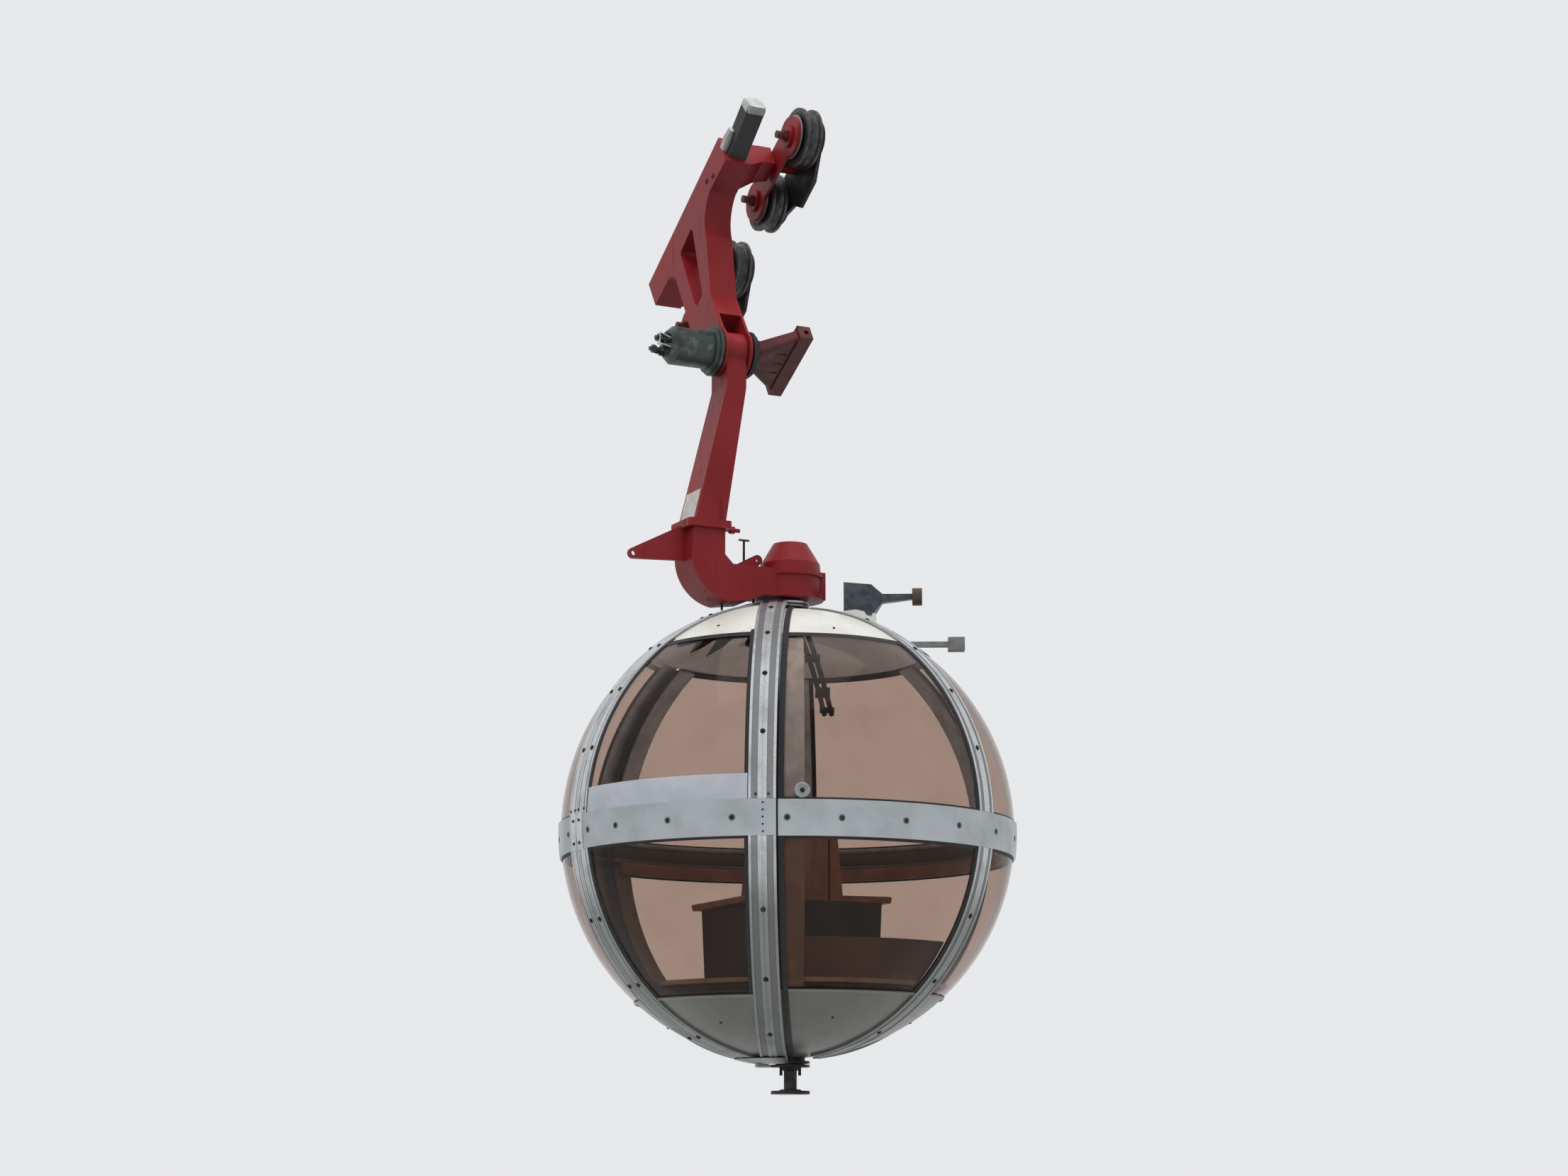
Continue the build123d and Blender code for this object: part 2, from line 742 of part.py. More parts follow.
band_top = degrees(asin(band_half / strip_out)) + 0.05
rib_end = degrees(acos(pole_r / strip_out))
fixed_ribs_at = (door_edge, door_edge + 60, door_edge + 120)
with BuildPart() as fixed_ribs:
    for azimuth in fixed_ribs_at:
        for side in (1, -1):
            with BuildSketch(rib_plane(azimuth, side * band_top)):
                make_face(strip_outline(-rib_width / 2, rib_width / 2, strip_in, strip_out, rib_groove))
            revolve(axis=Axis(cabin, heading(azimuth + 90) * -side),
                    revolution_arc=rib_end - band_top)
save(fixed_ribs.part, "fixed_ribs")

# Door jambs at both edges of the opening. Columns: azimuth, left and right edge of the strip
jambs = ((-door_edge, leaf_gap / 2, leaf_gap / 2 + jamb_width),
         (180 + door_edge, -leaf_gap / 2 - jamb_width, -leaf_gap / 2))
with BuildPart() as door_jambs:
    for azimuth, left, right in jambs:
        for side in (1, -1):
            with BuildSketch(rib_plane(azimuth, side * band_top)):
                make_face(strip_outline(left, right, strip_in, strip_out - jamb_step))
            revolve(axis=Axis(cabin, heading(azimuth + 90) * -side),
                    revolution_arc=rib_end - band_top)
save(door_jambs.part, "door_jambs")

with BuildPart() as fixed_band:
    with BuildSketch(meridian(-door_edge + pane_margin)):
        with Locations(((strip_in + strip_out) / 2, 0)):
            Rectangle(strip_t - seat_gap, 2 * band_half)
    revolve(axis=polar_axis, revolution_arc=240 - 2 * pane_margin)
save(fixed_band.part, "fixed_band")

# Inner frame behind the ribs, joined by a ring at the middle
backing = inner_r - seat_gap
posts_at = (-door_edge + backing_inset, *fixed_ribs_at, 180 + door_edge - backing_inset)
with BuildPart() as inner_frame:
    back_top_e = degrees(asin((roof_rim - 6) / backing))
    back_low_e = degrees(asin((floor_rim - 6) / backing))
    with BuildSketch(meridian(-door_edge + 1)):
        make_face(wall_outline(backing - backing_t, backing - 0.2, -ring_half, ring_half))
    revolve(axis=polar_axis, revolution_arc=238)
    for azimuth in posts_at:
        with BuildSketch(rib_plane(azimuth, -back_low_e)):
            make_face(strip_outline(-backing_width / 2, backing_width / 2, backing - backing_t + 0.2,
                                    backing))
        revolve(axis=Axis(cabin, heading(azimuth - 90)), revolution_arc=back_low_e + back_top_e)
save(inner_frame.part, "inner_frame")

# Door leaves. Each is a sixth of the ball just outside the fixed shell, and turns on the king pins.
# Columns: name, azimuth of its first edge, widths of the stiles at its first and last edge, ring
leaf_in = strip_out + swing_gap
leaf_out = leaf_in + wall_t
stile_in = leaf_out + seat_gap
stile_out = leaf_out + strip_t
leaves = (
    ("front", -door_edge - 60, meeting_stile, rib_width, 0),
    ("rear", -door_edge - 120, rib_width, meeting_stile, 1),
)
leaf_band_top = degrees(asin(band_half / stile_out)) + 0.05
stile_end = degrees(acos(stile_stop / stile_out))
ring_in = king_r + running_fit
for name, first, first_width, last_width, ring in leaves:
    last = first + 60
    stiles = ((first, leaf_gap / 2, leaf_gap / 2 + first_width),
              (last, -leaf_gap / 2 - last_width, -leaf_gap / 2))
    with BuildPart() as frame:
        for azimuth, left, right in stiles:
            for side in (1, -1):
                with BuildSketch(rib_plane(azimuth, side * leaf_band_top)):
                    make_face(strip_outline(left, right, stile_in, stile_out, rib_groove))
                revolve(axis=Axis(cabin, heading(azimuth + 90) * -side),
                        revolution_arc=stile_end - leaf_band_top)
        for side in (1, -1):
            low = rings[ring]
            with BuildSketch(meridian(0)):
                with Locations(((ring_in + leaf_ring_r) / 2, side * (low + leaf_ring_t / 2))):
                    Rectangle(leaf_ring_r - ring_in, leaf_ring_t)
            revolve(axis=polar_axis)
            # The tongue that joins the ring to both stiles, stepped down from the higher ring
            tongue = [(leaf_ring_r - 10, pole_r + ring_overlap, low, low + leaf_ring_t)]
            if ring:
                tongue.append((leaf_ring_r + swing_gap, pole_r + ring_overlap, rings[0], low + 1))
            for near, far, bottom, top in tongue:
                with BuildSketch(meridian(first + tongue_margin)):
                    with Locations(((near + far) / 2, side * (bottom + top) / 2)):
                        Rectangle(far - near, top - bottom)
                revolve(axis=polar_axis, revolution_arc=60 - 2 * tongue_margin)
            # The crown plate over the ends of both stiles
            with BuildSketch(meridian(first + tongue_margin)):
                make_face(dome_outline(stile_in + seat_gap, stile_out + crown_t,
                                       sqrt(stile_out**2 - crown_r**2), pole_r - 10))
                if side < 0:
                    mirror(about=Plane.XZ, mode=Mode.REPLACE)
            revolve(axis=polar_axis, revolution_arc=60 - 2 * tongue_margin)
        # Narrow braces that tie the upper and lower halves behind the band
        for azimuth, left, right in stiles:
            with BuildSketch(rib_plane(azimuth, -leaf_band_top - 0.2)):
                make_face(strip_outline(left + rib_lip, right - rib_lip, stile_in,
                                        stile_in + splice_t))
            revolve(axis=Axis(cabin, heading(azimuth - 90)),
                    revolution_arc=2 * leaf_band_top + 0.4)
    save(frame.part, f"door_{name}_frame")

    edge_cut = leaf_gap / 2
    with BuildPart() as caps:
        for rim, side in ((roof_rim - 4, 1), (floor_rim + 24, -1)):
            with BuildSketch(meridian(first)):
                make_face(dome_outline(leaf_in, leaf_out, rim, pole_r + 15))
                if side < 0:
                    mirror(about=Plane.XZ, mode=Mode.REPLACE)
            revolve(axis=polar_axis, revolution_arc=60)
        for azimuth in (first, last):
            with BuildSketch(rib_plane(azimuth, 0)):
                with Locations((0, leaf_out / 2)):
                    Rectangle(2 * edge_cut, leaf_out + 50)
            extrude(amount=2 * leaf_out, both=True, mode=Mode.SUBTRACT)
    save(caps.part, f"door_{name}_caps")

    with BuildPart() as leaf_panes:
        for low, high in ((pane_lap, roof_rim - 4.5), (-floor_rim - 23.5, -pane_lap)):
            with BuildSketch(meridian(first)):
                make_face(wall_outline(leaf_in, leaf_out, low, high))
            revolve(axis=polar_axis, revolution_arc=60)
        for azimuth in (first, last):
            with BuildSketch(rib_plane(azimuth, 0)):
                with Locations((0, leaf_out / 2)):
                    Rectangle(2 * edge_cut, leaf_out + 50)
            extrude(amount=2 * leaf_out, both=True, mode=Mode.SUBTRACT)
    save(leaf_panes.part, f"door_{name}_panes")

    with BuildPart() as band:
        with BuildSketch(meridian(first)):
            with Locations(((stile_in + splice_t + seat_gap + stile_out) / 2, 0)):
                Rectangle(stile_out - stile_in - splice_t - seat_gap, 2 * band_half)
        revolve(axis=polar_axis, revolution_arc=60)
        for azimuth in (first, last):
            with BuildSketch(rib_plane(azimuth, 0)):
                with Locations((0, leaf_out / 2)):
                    Rectangle(2 * edge_cut, leaf_out + 50)
            extrude(amount=2 * leaf_out, both=True, mode=Mode.SUBTRACT)
    save(band.part, f"door_{name}_band")

# White strip above the band of the front leaf, and the roller beside its edge
strip_start = degrees(asin((leaf_gap / 2 + meeting_stile) / stile_in)) + 0.3
strip_stop = degrees(asin((leaf_gap / 2 + rib_width) / stile_in)) + 0.3
with BuildPart() as sill_strip:
    with BuildSketch(meridian(-door_edge - 60 + strip_start)):
        make_face(wall_outline(stile_in, stile_in + sill_t, band_half + 1, band_half + sill_height))
    revolve(axis=polar_axis, revolution_arc=60 - strip_start - strip_stop)
save(sill_strip.part, "sill_strip")

# Roller beside the front leaf's edge, on the fixed band
roller_out = heading(-door_edge + 6)
roller_lift = degrees(asin(roller_level / glass_r))
roller_axis = roller_out * cos(radians(roller_lift)) + Vector(0, 0, sin(radians(roller_lift)))
with BuildPart() as edge_roller:
    with BuildSketch(Plane(origin=cabin + roller_axis * (glass_r + seat_gap),
                           x_dir=heading(-door_edge + 96), z_dir=roller_axis)):
        Circle(roller_r)
    extrude(amount=roller_t)
save(edge_roller.part, "edge_roller")

# Roof lever: a folded funnel on the roof that tapers to an arm with a roller
# Columns: reach from the axis, height above the ball's top, width, depth
lever_sections = ((275, 52, 150, 172), (415, 46, 140, 160), (470, 63, 50, 44), (622, 72, 30, 28))
lever_out = heading(lever_heading)


def roof_section(reach, rise):
    """A plane across the lever at a reach from the axis and a height above the ball's top."""
    return Plane(origin=cabin + lever_out * reach + Vector(0, 0, glass_r + rise),
                 x_dir=heading(lever_heading + 90), z_dir=lever_out)


with BuildPart() as roof_lever:
    for reach, rise, width, depth in lever_sections:
        with BuildSketch(roof_section(reach, rise)):
            Rectangle(width, depth)
    loft(ruled=True)
    with BuildSketch(roof_section(reach - 1, rise)):
        Circle(lever_roller_r)
    extrude(amount=lever_roller_t)
    with BuildSketch(meridian(lever_heading)):
        with Locations((lever_foot * 3, glass_r + 20 - lever_foot_sunk / 2 - 10)):
            Rectangle(lever_foot, lever_foot_sunk + 20)
    extrude(amount=lever_foot / 2, both=True)
    with BuildSketch(meridian(lever_heading)):
        with BuildLine():
            arc = CenterArc((0, 0), strip_in, 0, 90)
            Line(arc @ 1, (0, 0))
            Line((0, 0), arc @ 0)
        make_face()
    revolve(axis=polar_axis, mode=Mode.SUBTRACT)
save(roof_lever.part, "roof_lever")

# Latch arm that stands out of the roof's rim
latch_out = heading(latch_heading)
latch_level = Vector(0, 0, sqrt(glass_r**2 - latch_root**2) + 4)
with BuildPart() as roof_latch:
    with BuildSketch(Plane(origin=cabin + latch_out * latch_root + latch_level,
                           x_dir=heading(latch_heading + 90), z_dir=latch_out)):
        Rectangle(34, 26)
    extrude(amount=latch_tip - latch_root - 34)
    with BuildSketch(Plane(origin=cabin + latch_out * (latch_tip - 84) + latch_level,
                           x_dir=heading(latch_heading + 90), z_dir=latch_out)):
        Rectangle(84, 64)
    extrude(amount=84)
    with BuildSketch(meridian(latch_heading)):
        with BuildLine():
            arc = CenterArc((0, 0), strip_in, 0, 90)
            Line(arc @ 1, (0, 0))
            Line((0, 0), arc @ 0)
        make_face()
    revolve(axis=polar_axis, mode=Mode.SUBTRACT)
save(roof_latch.part, "roof_latch")

# Inside: a floor on a joist ring, a bench back to back, a low panel and a rail
floor_low = floor_level - floor_t
floor_edge = backing - backing_t - 2
floor_r = sqrt(floor_edge**2 - floor_level**2)
floor_low_r = sqrt(floor_edge**2 - floor_low**2)
joist_foot = -sqrt((inner_r - seat_gap)**2 - (floor_joist_r + floor_joist_t)**2)
with BuildPart() as cabin_floor:
    with BuildSketch(meridian(0)):
        with BuildLine():
            Polyline(
                (0, floor_level), (floor_r, floor_level), (floor_low_r, floor_low),
                (floor_joist_r + floor_joist_t, floor_low), (floor_joist_r + floor_joist_t, joist_foot),
                (floor_joist_r, joist_foot), (floor_joist_r, floor_low), (0, floor_low), close=True,
            )
        make_face()
    revolve(axis=polar_axis)
save(cabin_floor.part, "cabin_floor")

bench_top = seat_top - seat_t - seat_gap
with BuildPart() as bench_base:
    with BuildSketch(front_plane(bench_length / 2)):
        with BuildLine():
            Polyline(
                (-bench_depth, floor_level + seat_gap), (bench_depth, floor_level + seat_gap),
                (bench_depth + 20, bench_top), (-bench_depth - 20, bench_top), close=True,
            )
        make_face()
    extrude(amount=bench_length)
save(bench_base.part, "bench_base")

with BuildPart() as seat_shells:
    for side in (-1, 1):
        with BuildSketch(front_plane(bench_length / 2)) as outline:
            with BuildLine():
                Polyline(
                    (side * 6, seat_top - seat_t), (side * seat_depth, seat_top - seat_t),
                    (side * (seat_depth + 8), seat_top - 4), (side * seat_depth, seat_top + 4),
                    (side * (back_lean + seat_t), seat_top), (side * (6 + seat_t), back_top),
                    (side * 6, back_top), close=True,
                )
            make_face()
        extrude(amount=bench_length)
save(seat_shells.part, "seat_shells")

with BuildPart() as kick_panel:
    with BuildSketch(meridian(-door_edge + 4)):
        make_face(wall_outline(inner_r - kick_inset, inner_r - kick_inset + kick_t,
                               floor_level + seat_gap, floor_level + kick_height))
    revolve(axis=polar_axis, revolution_arc=52)
save(kick_panel.part, "kick_panel")

stay_height = 26
rail_r = inner_r - rail_inset
stay_end = sqrt((backing - backing_t - 1)**2 - (rail_level - stay_height / 2)**2) - seat_gap
with BuildPart() as hand_rail:
    with BuildSketch(meridian(-door_edge + 1)):
        with Locations((rail_r, rail_level)):
            RectangleRounded(rail_t, rail_height, 6)
    revolve(axis=polar_axis, revolution_arc=238)
    for azimuth in posts_at:
        out = heading(azimuth)
        with BuildSketch(Plane(origin=cabin + out * rail_r + Vector(0, 0, rail_level),
                               x_dir=heading(azimuth + 90), z_dir=out)):
            Rectangle(30, stay_height)
        extrude(amount=stay_end - rail_r)
save(hand_rail.part, "hand_rail")
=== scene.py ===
# %% [markdown]
# A round gondola cabin hangs from a bent red arm, under a carriage with four grooved sheaves. The
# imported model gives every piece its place, so this lesson starts by loading it. It then adds finishes,
# smooth shells, gaskets, bolts and light. All lengths are metres, +Z is up and +Y runs downhill.

# %% Load the frame
import json
from math import acos, asin, atan, cos, degrees, pi, radians, sin, sqrt

import bmesh
import bpy
import numpy as np
from mathutils import Matrix, Vector


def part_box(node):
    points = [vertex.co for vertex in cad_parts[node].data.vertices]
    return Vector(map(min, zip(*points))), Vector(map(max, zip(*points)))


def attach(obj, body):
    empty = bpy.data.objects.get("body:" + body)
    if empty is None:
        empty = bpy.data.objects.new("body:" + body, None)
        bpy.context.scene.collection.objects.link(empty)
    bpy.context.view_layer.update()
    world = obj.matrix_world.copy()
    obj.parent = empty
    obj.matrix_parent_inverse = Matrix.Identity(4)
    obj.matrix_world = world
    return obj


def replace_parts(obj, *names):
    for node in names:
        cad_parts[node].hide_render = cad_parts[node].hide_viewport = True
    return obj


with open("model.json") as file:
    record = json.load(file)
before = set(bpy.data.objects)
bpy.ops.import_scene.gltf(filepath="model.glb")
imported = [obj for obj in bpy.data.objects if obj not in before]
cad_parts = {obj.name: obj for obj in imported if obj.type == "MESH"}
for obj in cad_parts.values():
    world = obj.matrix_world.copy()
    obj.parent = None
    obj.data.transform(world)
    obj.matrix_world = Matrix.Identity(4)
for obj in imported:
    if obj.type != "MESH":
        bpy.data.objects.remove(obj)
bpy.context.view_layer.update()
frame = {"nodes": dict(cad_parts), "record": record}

NODES = frame["nodes"]

# %% [markdown]
# The cabin's centre is read from the frame's own pieces. It could be typed in again, but then a resized
# model would leave the scene behind. The coupling under the pan is centred on the cabin's axis, and the
# band on its middle. The photo shows the band a little lower than the solids have it, so the new pieces
# are made lower by `BAND_DROP`.

# %% Where the cabin is
foot_low, foot_high = (np.array(corner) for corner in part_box("bottom_coupling"))
band_low, band_high = (np.array(corner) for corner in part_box("fixed_band"))
CABIN = np.array([(foot_low[0] + foot_high[0]) / 2, (foot_low[1] + foot_high[1]) / 2,
                  (band_low[2] + band_high[2]) / 2])
BAND_DROP = 0.060
BAND_LOW, BAND_HIGH = band_low[2] - CABIN[2] - BAND_DROP, band_high[2] - CABIN[2] - BAND_DROP
BAND_MID = (BAND_LOW + BAND_HIGH) / 2
print("cabin centre", CABIN.round(4), "band", round(BAND_LOW, 4), "to", round(BAND_HIGH, 4))

# %% [markdown]
# Every shell lies on a ball about that centre. From the inside out they are the fixed wall, its cover
# strips, the leaves' wall and the leaves' strips. `SEAT` is a hair's breadth between pieces that rest on
# one another, because two faces in one place flicker in a render.

# %% Radii of the shells
STRIP_T, WALL_T, SWING_GAP, SEAT = 0.012, 0.008, 0.006, 0.0003
FIXED_OUT = band_high[0] - CABIN[0]
GLASS_R = FIXED_OUT - STRIP_T
INNER_R = GLASS_R - WALL_T
LEAF_IN = FIXED_OUT + SWING_GAP
LEAF_OUT = LEAF_IN + WALL_T
STILE_OUT = LEAF_OUT + STRIP_T
print("radii", [round(r, 4) for r in (INNER_R, GLASS_R, FIXED_OUT, LEAF_IN, LEAF_OUT, STILE_OUT)])

# %% [markdown]
# Shader sums are easier to read as Python expressions. Math nodes could be added and linked one by one,
# but that takes three lines for every sign. This class wraps one socket instead. Each operator adds a
# Math node, and `node` adds any other node with its settings and inputs.


# %% A socket that can be used in sums
class Wire:
    """A socket of a material's nodes that can be added, multiplied and sent to other nodes."""

    def __init__(self, tree, socket=None):
        self.tree, self.socket = tree, socket

    def node(self, kind, settings=None, inputs=(), output=0):
        node = self.tree.nodes.new(kind)
        for name, value in (settings or {}).items():
            if name == "stops":
                ramp = node.color_ramp
                while len(ramp.elements) < len(value):
                    ramp.elements.new(0.5)
                for element, (place, colour) in zip(ramp.elements, value):
                    element.position = place
                    element.color = (*colour, 1.0) if len(colour) == 3 else colour
            else:
                setattr(node, name, value)
        for key, value in (inputs.items() if isinstance(inputs, dict) else enumerate(inputs)):
            if isinstance(value, Wire):
                self.tree.links.new(value.socket, node.inputs[key])
            elif value is not None:
                node.inputs[key].default_value = value
        return Wire(self.tree, node.outputs[output])

    def maths(self, operation, *values):
        return self.node("ShaderNodeMath", {"operation": operation}, values)

    def __add__(self, other):
        return self.maths("ADD", self, other)

    def __radd__(self, other):
        return self.maths("ADD", other, self)

    def __sub__(self, other):
        return self.maths("SUBTRACT", self, other)

    def __rsub__(self, other):
        return self.maths("SUBTRACT", other, self)

    def __mul__(self, other):
        return self.maths("MULTIPLY", self, other)

    def __rmul__(self, other):
        return self.maths("MULTIPLY", other, self)

    def node_z(self):
        """The height of a vector."""
        return self.node("ShaderNodeSeparateXYZ", {}, (self,), output=2)

    def between(self, low, high):
        """0 below low, 1 above high and a smooth step in between."""
        return self.node("ShaderNodeMapRange", {"interpolation_type": "SMOOTHSTEP"},
                         {"Value": self, "From Min": low, "From Max": high})

    def mix(self, first, second):
        """The colour `first` where this wire is 0, and `second` where it is 1."""
        colours = [c if isinstance(c, Wire) else (*c, 1.0) for c in (first, second)]
        return self.node("ShaderNodeMix", {"data_type": "RGBA"},
                         {0: self, 6: colours[0], 7: colours[1]}, output=2)


# %% [markdown]
# Every finish starts from the same few patterns: soft clouds for fading, fine specks for wear, and
# streaks that run down the way rain does. Pictures of paint and metal could give them too, but noise
# needs no file and stays sharp from any distance. It reads Object coordinates, which are metres here.


# %% Patterns that the finishes share
def place(wire, scale=(1, 1, 1), centre=(0, 0, 0)):
    """Object coordinates, moved so that `centre` is zero and then stretched."""
    spot = wire.node("ShaderNodeTexCoord", output=3)
    shifted = wire.node("ShaderNodeVectorMath", {"operation": "SUBTRACT"}, (spot, centre))
    return wire.node("ShaderNodeVectorMath", {"operation": "MULTIPLY"}, (shifted, scale))


def clouds(wire, size, detail=4.0, rough=0.55, stretch=(1, 1, 1)):
    """Noise from 0 to 1 whose blotches are about `size` metres wide."""
    return wire.node("ShaderNodeTexNoise", {}, {
        "Vector": place(wire, stretch), "Scale": 1.0 / size, "Detail": detail, "Roughness": rough})


def bump(wire, height, distance, strength=0.5):
    """A normal from a height pattern."""
    return wire.node("ShaderNodeBump", {}, {
        "Strength": strength, "Distance": distance, "Height": height})


def finish(name, paint):
    """A new material. `paint` gets a wire, and returns the values and links of the shader's inputs."""
    material = bpy.data.materials.new(name)
    material.use_nodes = True
    tree = material.node_tree
    shader = tree.nodes["Principled BSDF"]
    for key, value in paint(Wire(tree)).items():
        if isinstance(value, Wire):
            tree.links.new(value.socket, shader.inputs[key])
        else:
            shader.inputs[key].default_value = value
    return material


# %% [markdown]
# The steelwork is brush-painted red. Sun has faded the paint in soft patches, rain has left darker
# streaks, and small chips show primer. One flat colour would look like plastic, so noise of three sizes
# mixes four colours. Colours are linear, so they look darker here than on screen.

# %% Red paint of the steelwork
RED = (0.225, 0.008, 0.011)
RED_FADED = (0.280, 0.020, 0.024)
RED_GRIME = (0.075, 0.008, 0.009)
PRIMER = (0.05, 0.03, 0.03)


def red_paint(wire):
    fade = clouds(wire, 0.5).between(0.35, 0.7)
    streaks = clouds(wire, 0.12, stretch=(3.0, 3.0, 0.35)).between(0.58, 0.78)
    chips = clouds(wire, 0.014, detail=2.0).between(0.73, 0.76)
    colour = fade.mix(RED, RED_FADED)
    colour = (streaks * 0.55).mix(colour, RED_GRIME)
    colour = (chips * 0.7).mix(colour, PRIMER)
    peel = clouds(wire, 0.006, detail=2.0)
    return {"Base Color": colour, "Roughness": streaks * 0.2 + 0.42 + fade * 0.08,
            "Normal": bump(wire, peel + chips * -0.6, 0.0008, 0.35), "Specular IOR Level": 0.32}


# %% [markdown]
# The back plates, guards and pins are bare steel, nearly black, with brown in their films of old grease.
# The sheaves are worn bright in their grooves. A mask by the distance from the sheave's own axle finds
# the groove, and it stays in place when the sheave turns.

# %% Steel finishes
def dark_steel(wire):
    grease = clouds(wire, 0.09).between(0.4, 0.68)
    rust = clouds(wire, 0.035, detail=5.0).between(0.6, 0.72)
    colour = grease.mix((0.018, 0.017, 0.018), (0.045, 0.042, 0.042))
    colour = (rust * 0.5).mix(colour, (0.085, 0.036, 0.018))
    return {"Base Color": colour, "Metallic": 0.55, "Roughness": 0.62 - grease * 0.25,
            "Normal": bump(wire, clouds(wire, 0.008, detail=3.0), 0.001, 0.35)}


def sheave_steel(centre, running_r):
    """Steel that is worn bright on the groove, by its distance from the sheave's own axle."""
    def paint(wire):
        across = place(wire, (0, 1, 1), centre)
        reach = wire.node("ShaderNodeVectorMath", {"operation": "LENGTH"}, (across,), output=1)
        rim = reach.between(running_r - 0.012, running_r + 0.004)
        film = clouds(wire, 0.03, detail=4.0).between(0.42, 0.66)
        colour = rim.mix((0.030, 0.029, 0.030), (0.085, 0.083, 0.085))
        colour = (film * 0.6).mix(colour, (0.030, 0.024, 0.021))
        return {"Base Color": colour, "Metallic": 0.6, "Roughness": 0.5 - rim * 0.12 + film * 0.15,
                "Normal": bump(wire, clouds(wire, 0.01, detail=3.0), 0.0008, 0.3)}
    return paint

# %% [markdown]
# The grip's cylinder is green enamel, worn in patches and blackened with oil. Two noises give that, a
# fine one for the wear and a broad one over it for the oil.

# %% Green enamel of the grip
def grip_green(wire):
    wear = clouds(wire, 0.05, detail=5.0).between(0.5, 0.72)
    oil = clouds(wire, 0.15).between(0.45, 0.7)
    colour = wear.mix((0.060, 0.082, 0.070), (0.16, 0.175, 0.16))
    colour = (oil * 0.6).mix(colour, (0.014, 0.018, 0.016))
    return {"Base Color": colour, "Metallic": 0.45, "Roughness": 0.46 - oil * 0.18,
            "Normal": bump(wire, wear, 0.0008, 0.3)}


# %% [markdown]
# The cabin's strips are extruded aluminium, left bare. They have fine scratches and stains, and painted
# shade darkens their flats and the ball's lower half. A painted texture could show that, but the distance
# from the ball's centre tells flats from ridges exactly, and the height tells the lower half.

# %% Bare aluminium
def aluminium(outer):
    """Bare extrusion with painted shade. The flats lie deeper than the ridges and are painted darker, which
    is told by the distance from the ball's centre, because every ridge lies at `outer`. The ball's lower
    half is painted darker too."""
    def paint(wire):
        reach = wire.node("ShaderNodeVectorMath", {"operation": "LENGTH"},
                          (place(wire, centre=tuple(CABIN)),), output=1)
        # Painted shade: the flats between the ridges are darkened.
        flats = 1.0 - reach.between(outer - 0.0027, outer - 0.0012)
        scratch = clouds(wire, 0.012, detail=6.0, rough=0.7)
        stain = clouds(wire, 0.14, detail=5.0, stretch=(1.0, 1.0, 0.7)).between(0.46, 0.72)
        colour = scratch.between(0.3, 0.75).mix((0.58, 0.59, 0.60), (0.76, 0.77, 0.78))
        colour = (flats * 0.72).mix(colour, (0.13, 0.135, 0.135))
        colour = (stain * 0.5).mix(colour, (0.27, 0.275, 0.28))
        # Painted shade: the ball's lower half is darkened, for the dark ground that it faces and reflects.
        lower = 1.0 - place(wire, centre=tuple(CABIN)).node_z().between(-0.55, -0.10)
        colour = (lower * 0.80).mix(colour, (0.115, 0.125, 0.108))
        return {"Base Color": colour, "Metallic": 0.85,
                "Roughness": scratch * 0.2 + 0.27 + stain * 0.12 + flats * 0.12,
                "Normal": bump(wire, scratch, 0.0005, 0.25)}
    return paint

# %% [markdown]
# The roof and the pan are white laminate. Underneath, dirt tints the pan olive, and painted shade darkens
# it further. One finish whose colour changes with height serves both, and a haze and a few runs break it
# up.

# %% White laminate
def cap_white(wire):
    """White laminate. The pan's olive is dirt and painted shade together, so the colour changes with
    height.
    """
    level = place(wire, centre=tuple(CABIN)).node_z()
    upper = level.between(-0.6, 0.6)
    haze = clouds(wire, 0.35).between(0.4, 0.75)
    runs = clouds(wire, 0.05, detail=5.0, stretch=(2.0, 2.0, 0.4)).between(0.56, 0.76)
    white = haze.mix((0.74, 0.73, 0.68), (0.62, 0.61, 0.55))
    # The olive is a dirt tint together with painted shade of the underside.
    olive = haze.mix((0.29, 0.30, 0.245), (0.22, 0.23, 0.185))
    colour = (runs * 0.35).mix(upper.mix(olive, white), (0.22, 0.22, 0.17))
    return {"Base Color": colour, "Roughness": 0.34 + runs * 0.2,
            "Normal": bump(wire, clouds(wire, 0.03), 0.001, 0.15)}

# %% [markdown]
# The panes are bronze acrylic. They are clear, so the far side shows through the near side, and they look
# darker where the ball curves away from the eye. Tinted transmission does the first, and Layer Weight
# paints the second into the colour as painted shade. A low index of refraction keeps what lies behind
# straight, as a thin sheet does.

# %% Bronze panes
def bronze_glass(wire):
    dust = clouds(wire, 0.25, detail=5.0).between(0.45, 0.8)
    # Painted shade: the colour darkens where the surface turns away from the eye.
    slant = wire.node("ShaderNodeLayerWeight", {}, {"Blend": 0.5}, output=1).between(0.55, 0.98)
    colour = dust.mix((0.65, 0.535, 0.475), (0.59, 0.485, 0.43))
    return {"Base Color": (slant * 0.9).mix(colour, (0.26, 0.20, 0.17)), "Roughness": 0.0,
            "IOR": 1.10,
            "Transmission Weight": 1.0, "Coat Weight": 0.12, "Coat Roughness": 0.02}

# %% [markdown]
# The ring behind the band is a stack of thin layers, which show as fine lines through the glass. Layers
# that thin would cost many faces, so a ramp over the height draws them. The roof lever is one solid, and
# the roller at its end starts 0.621 m from the cabin's axis, so a step there changes the colour.

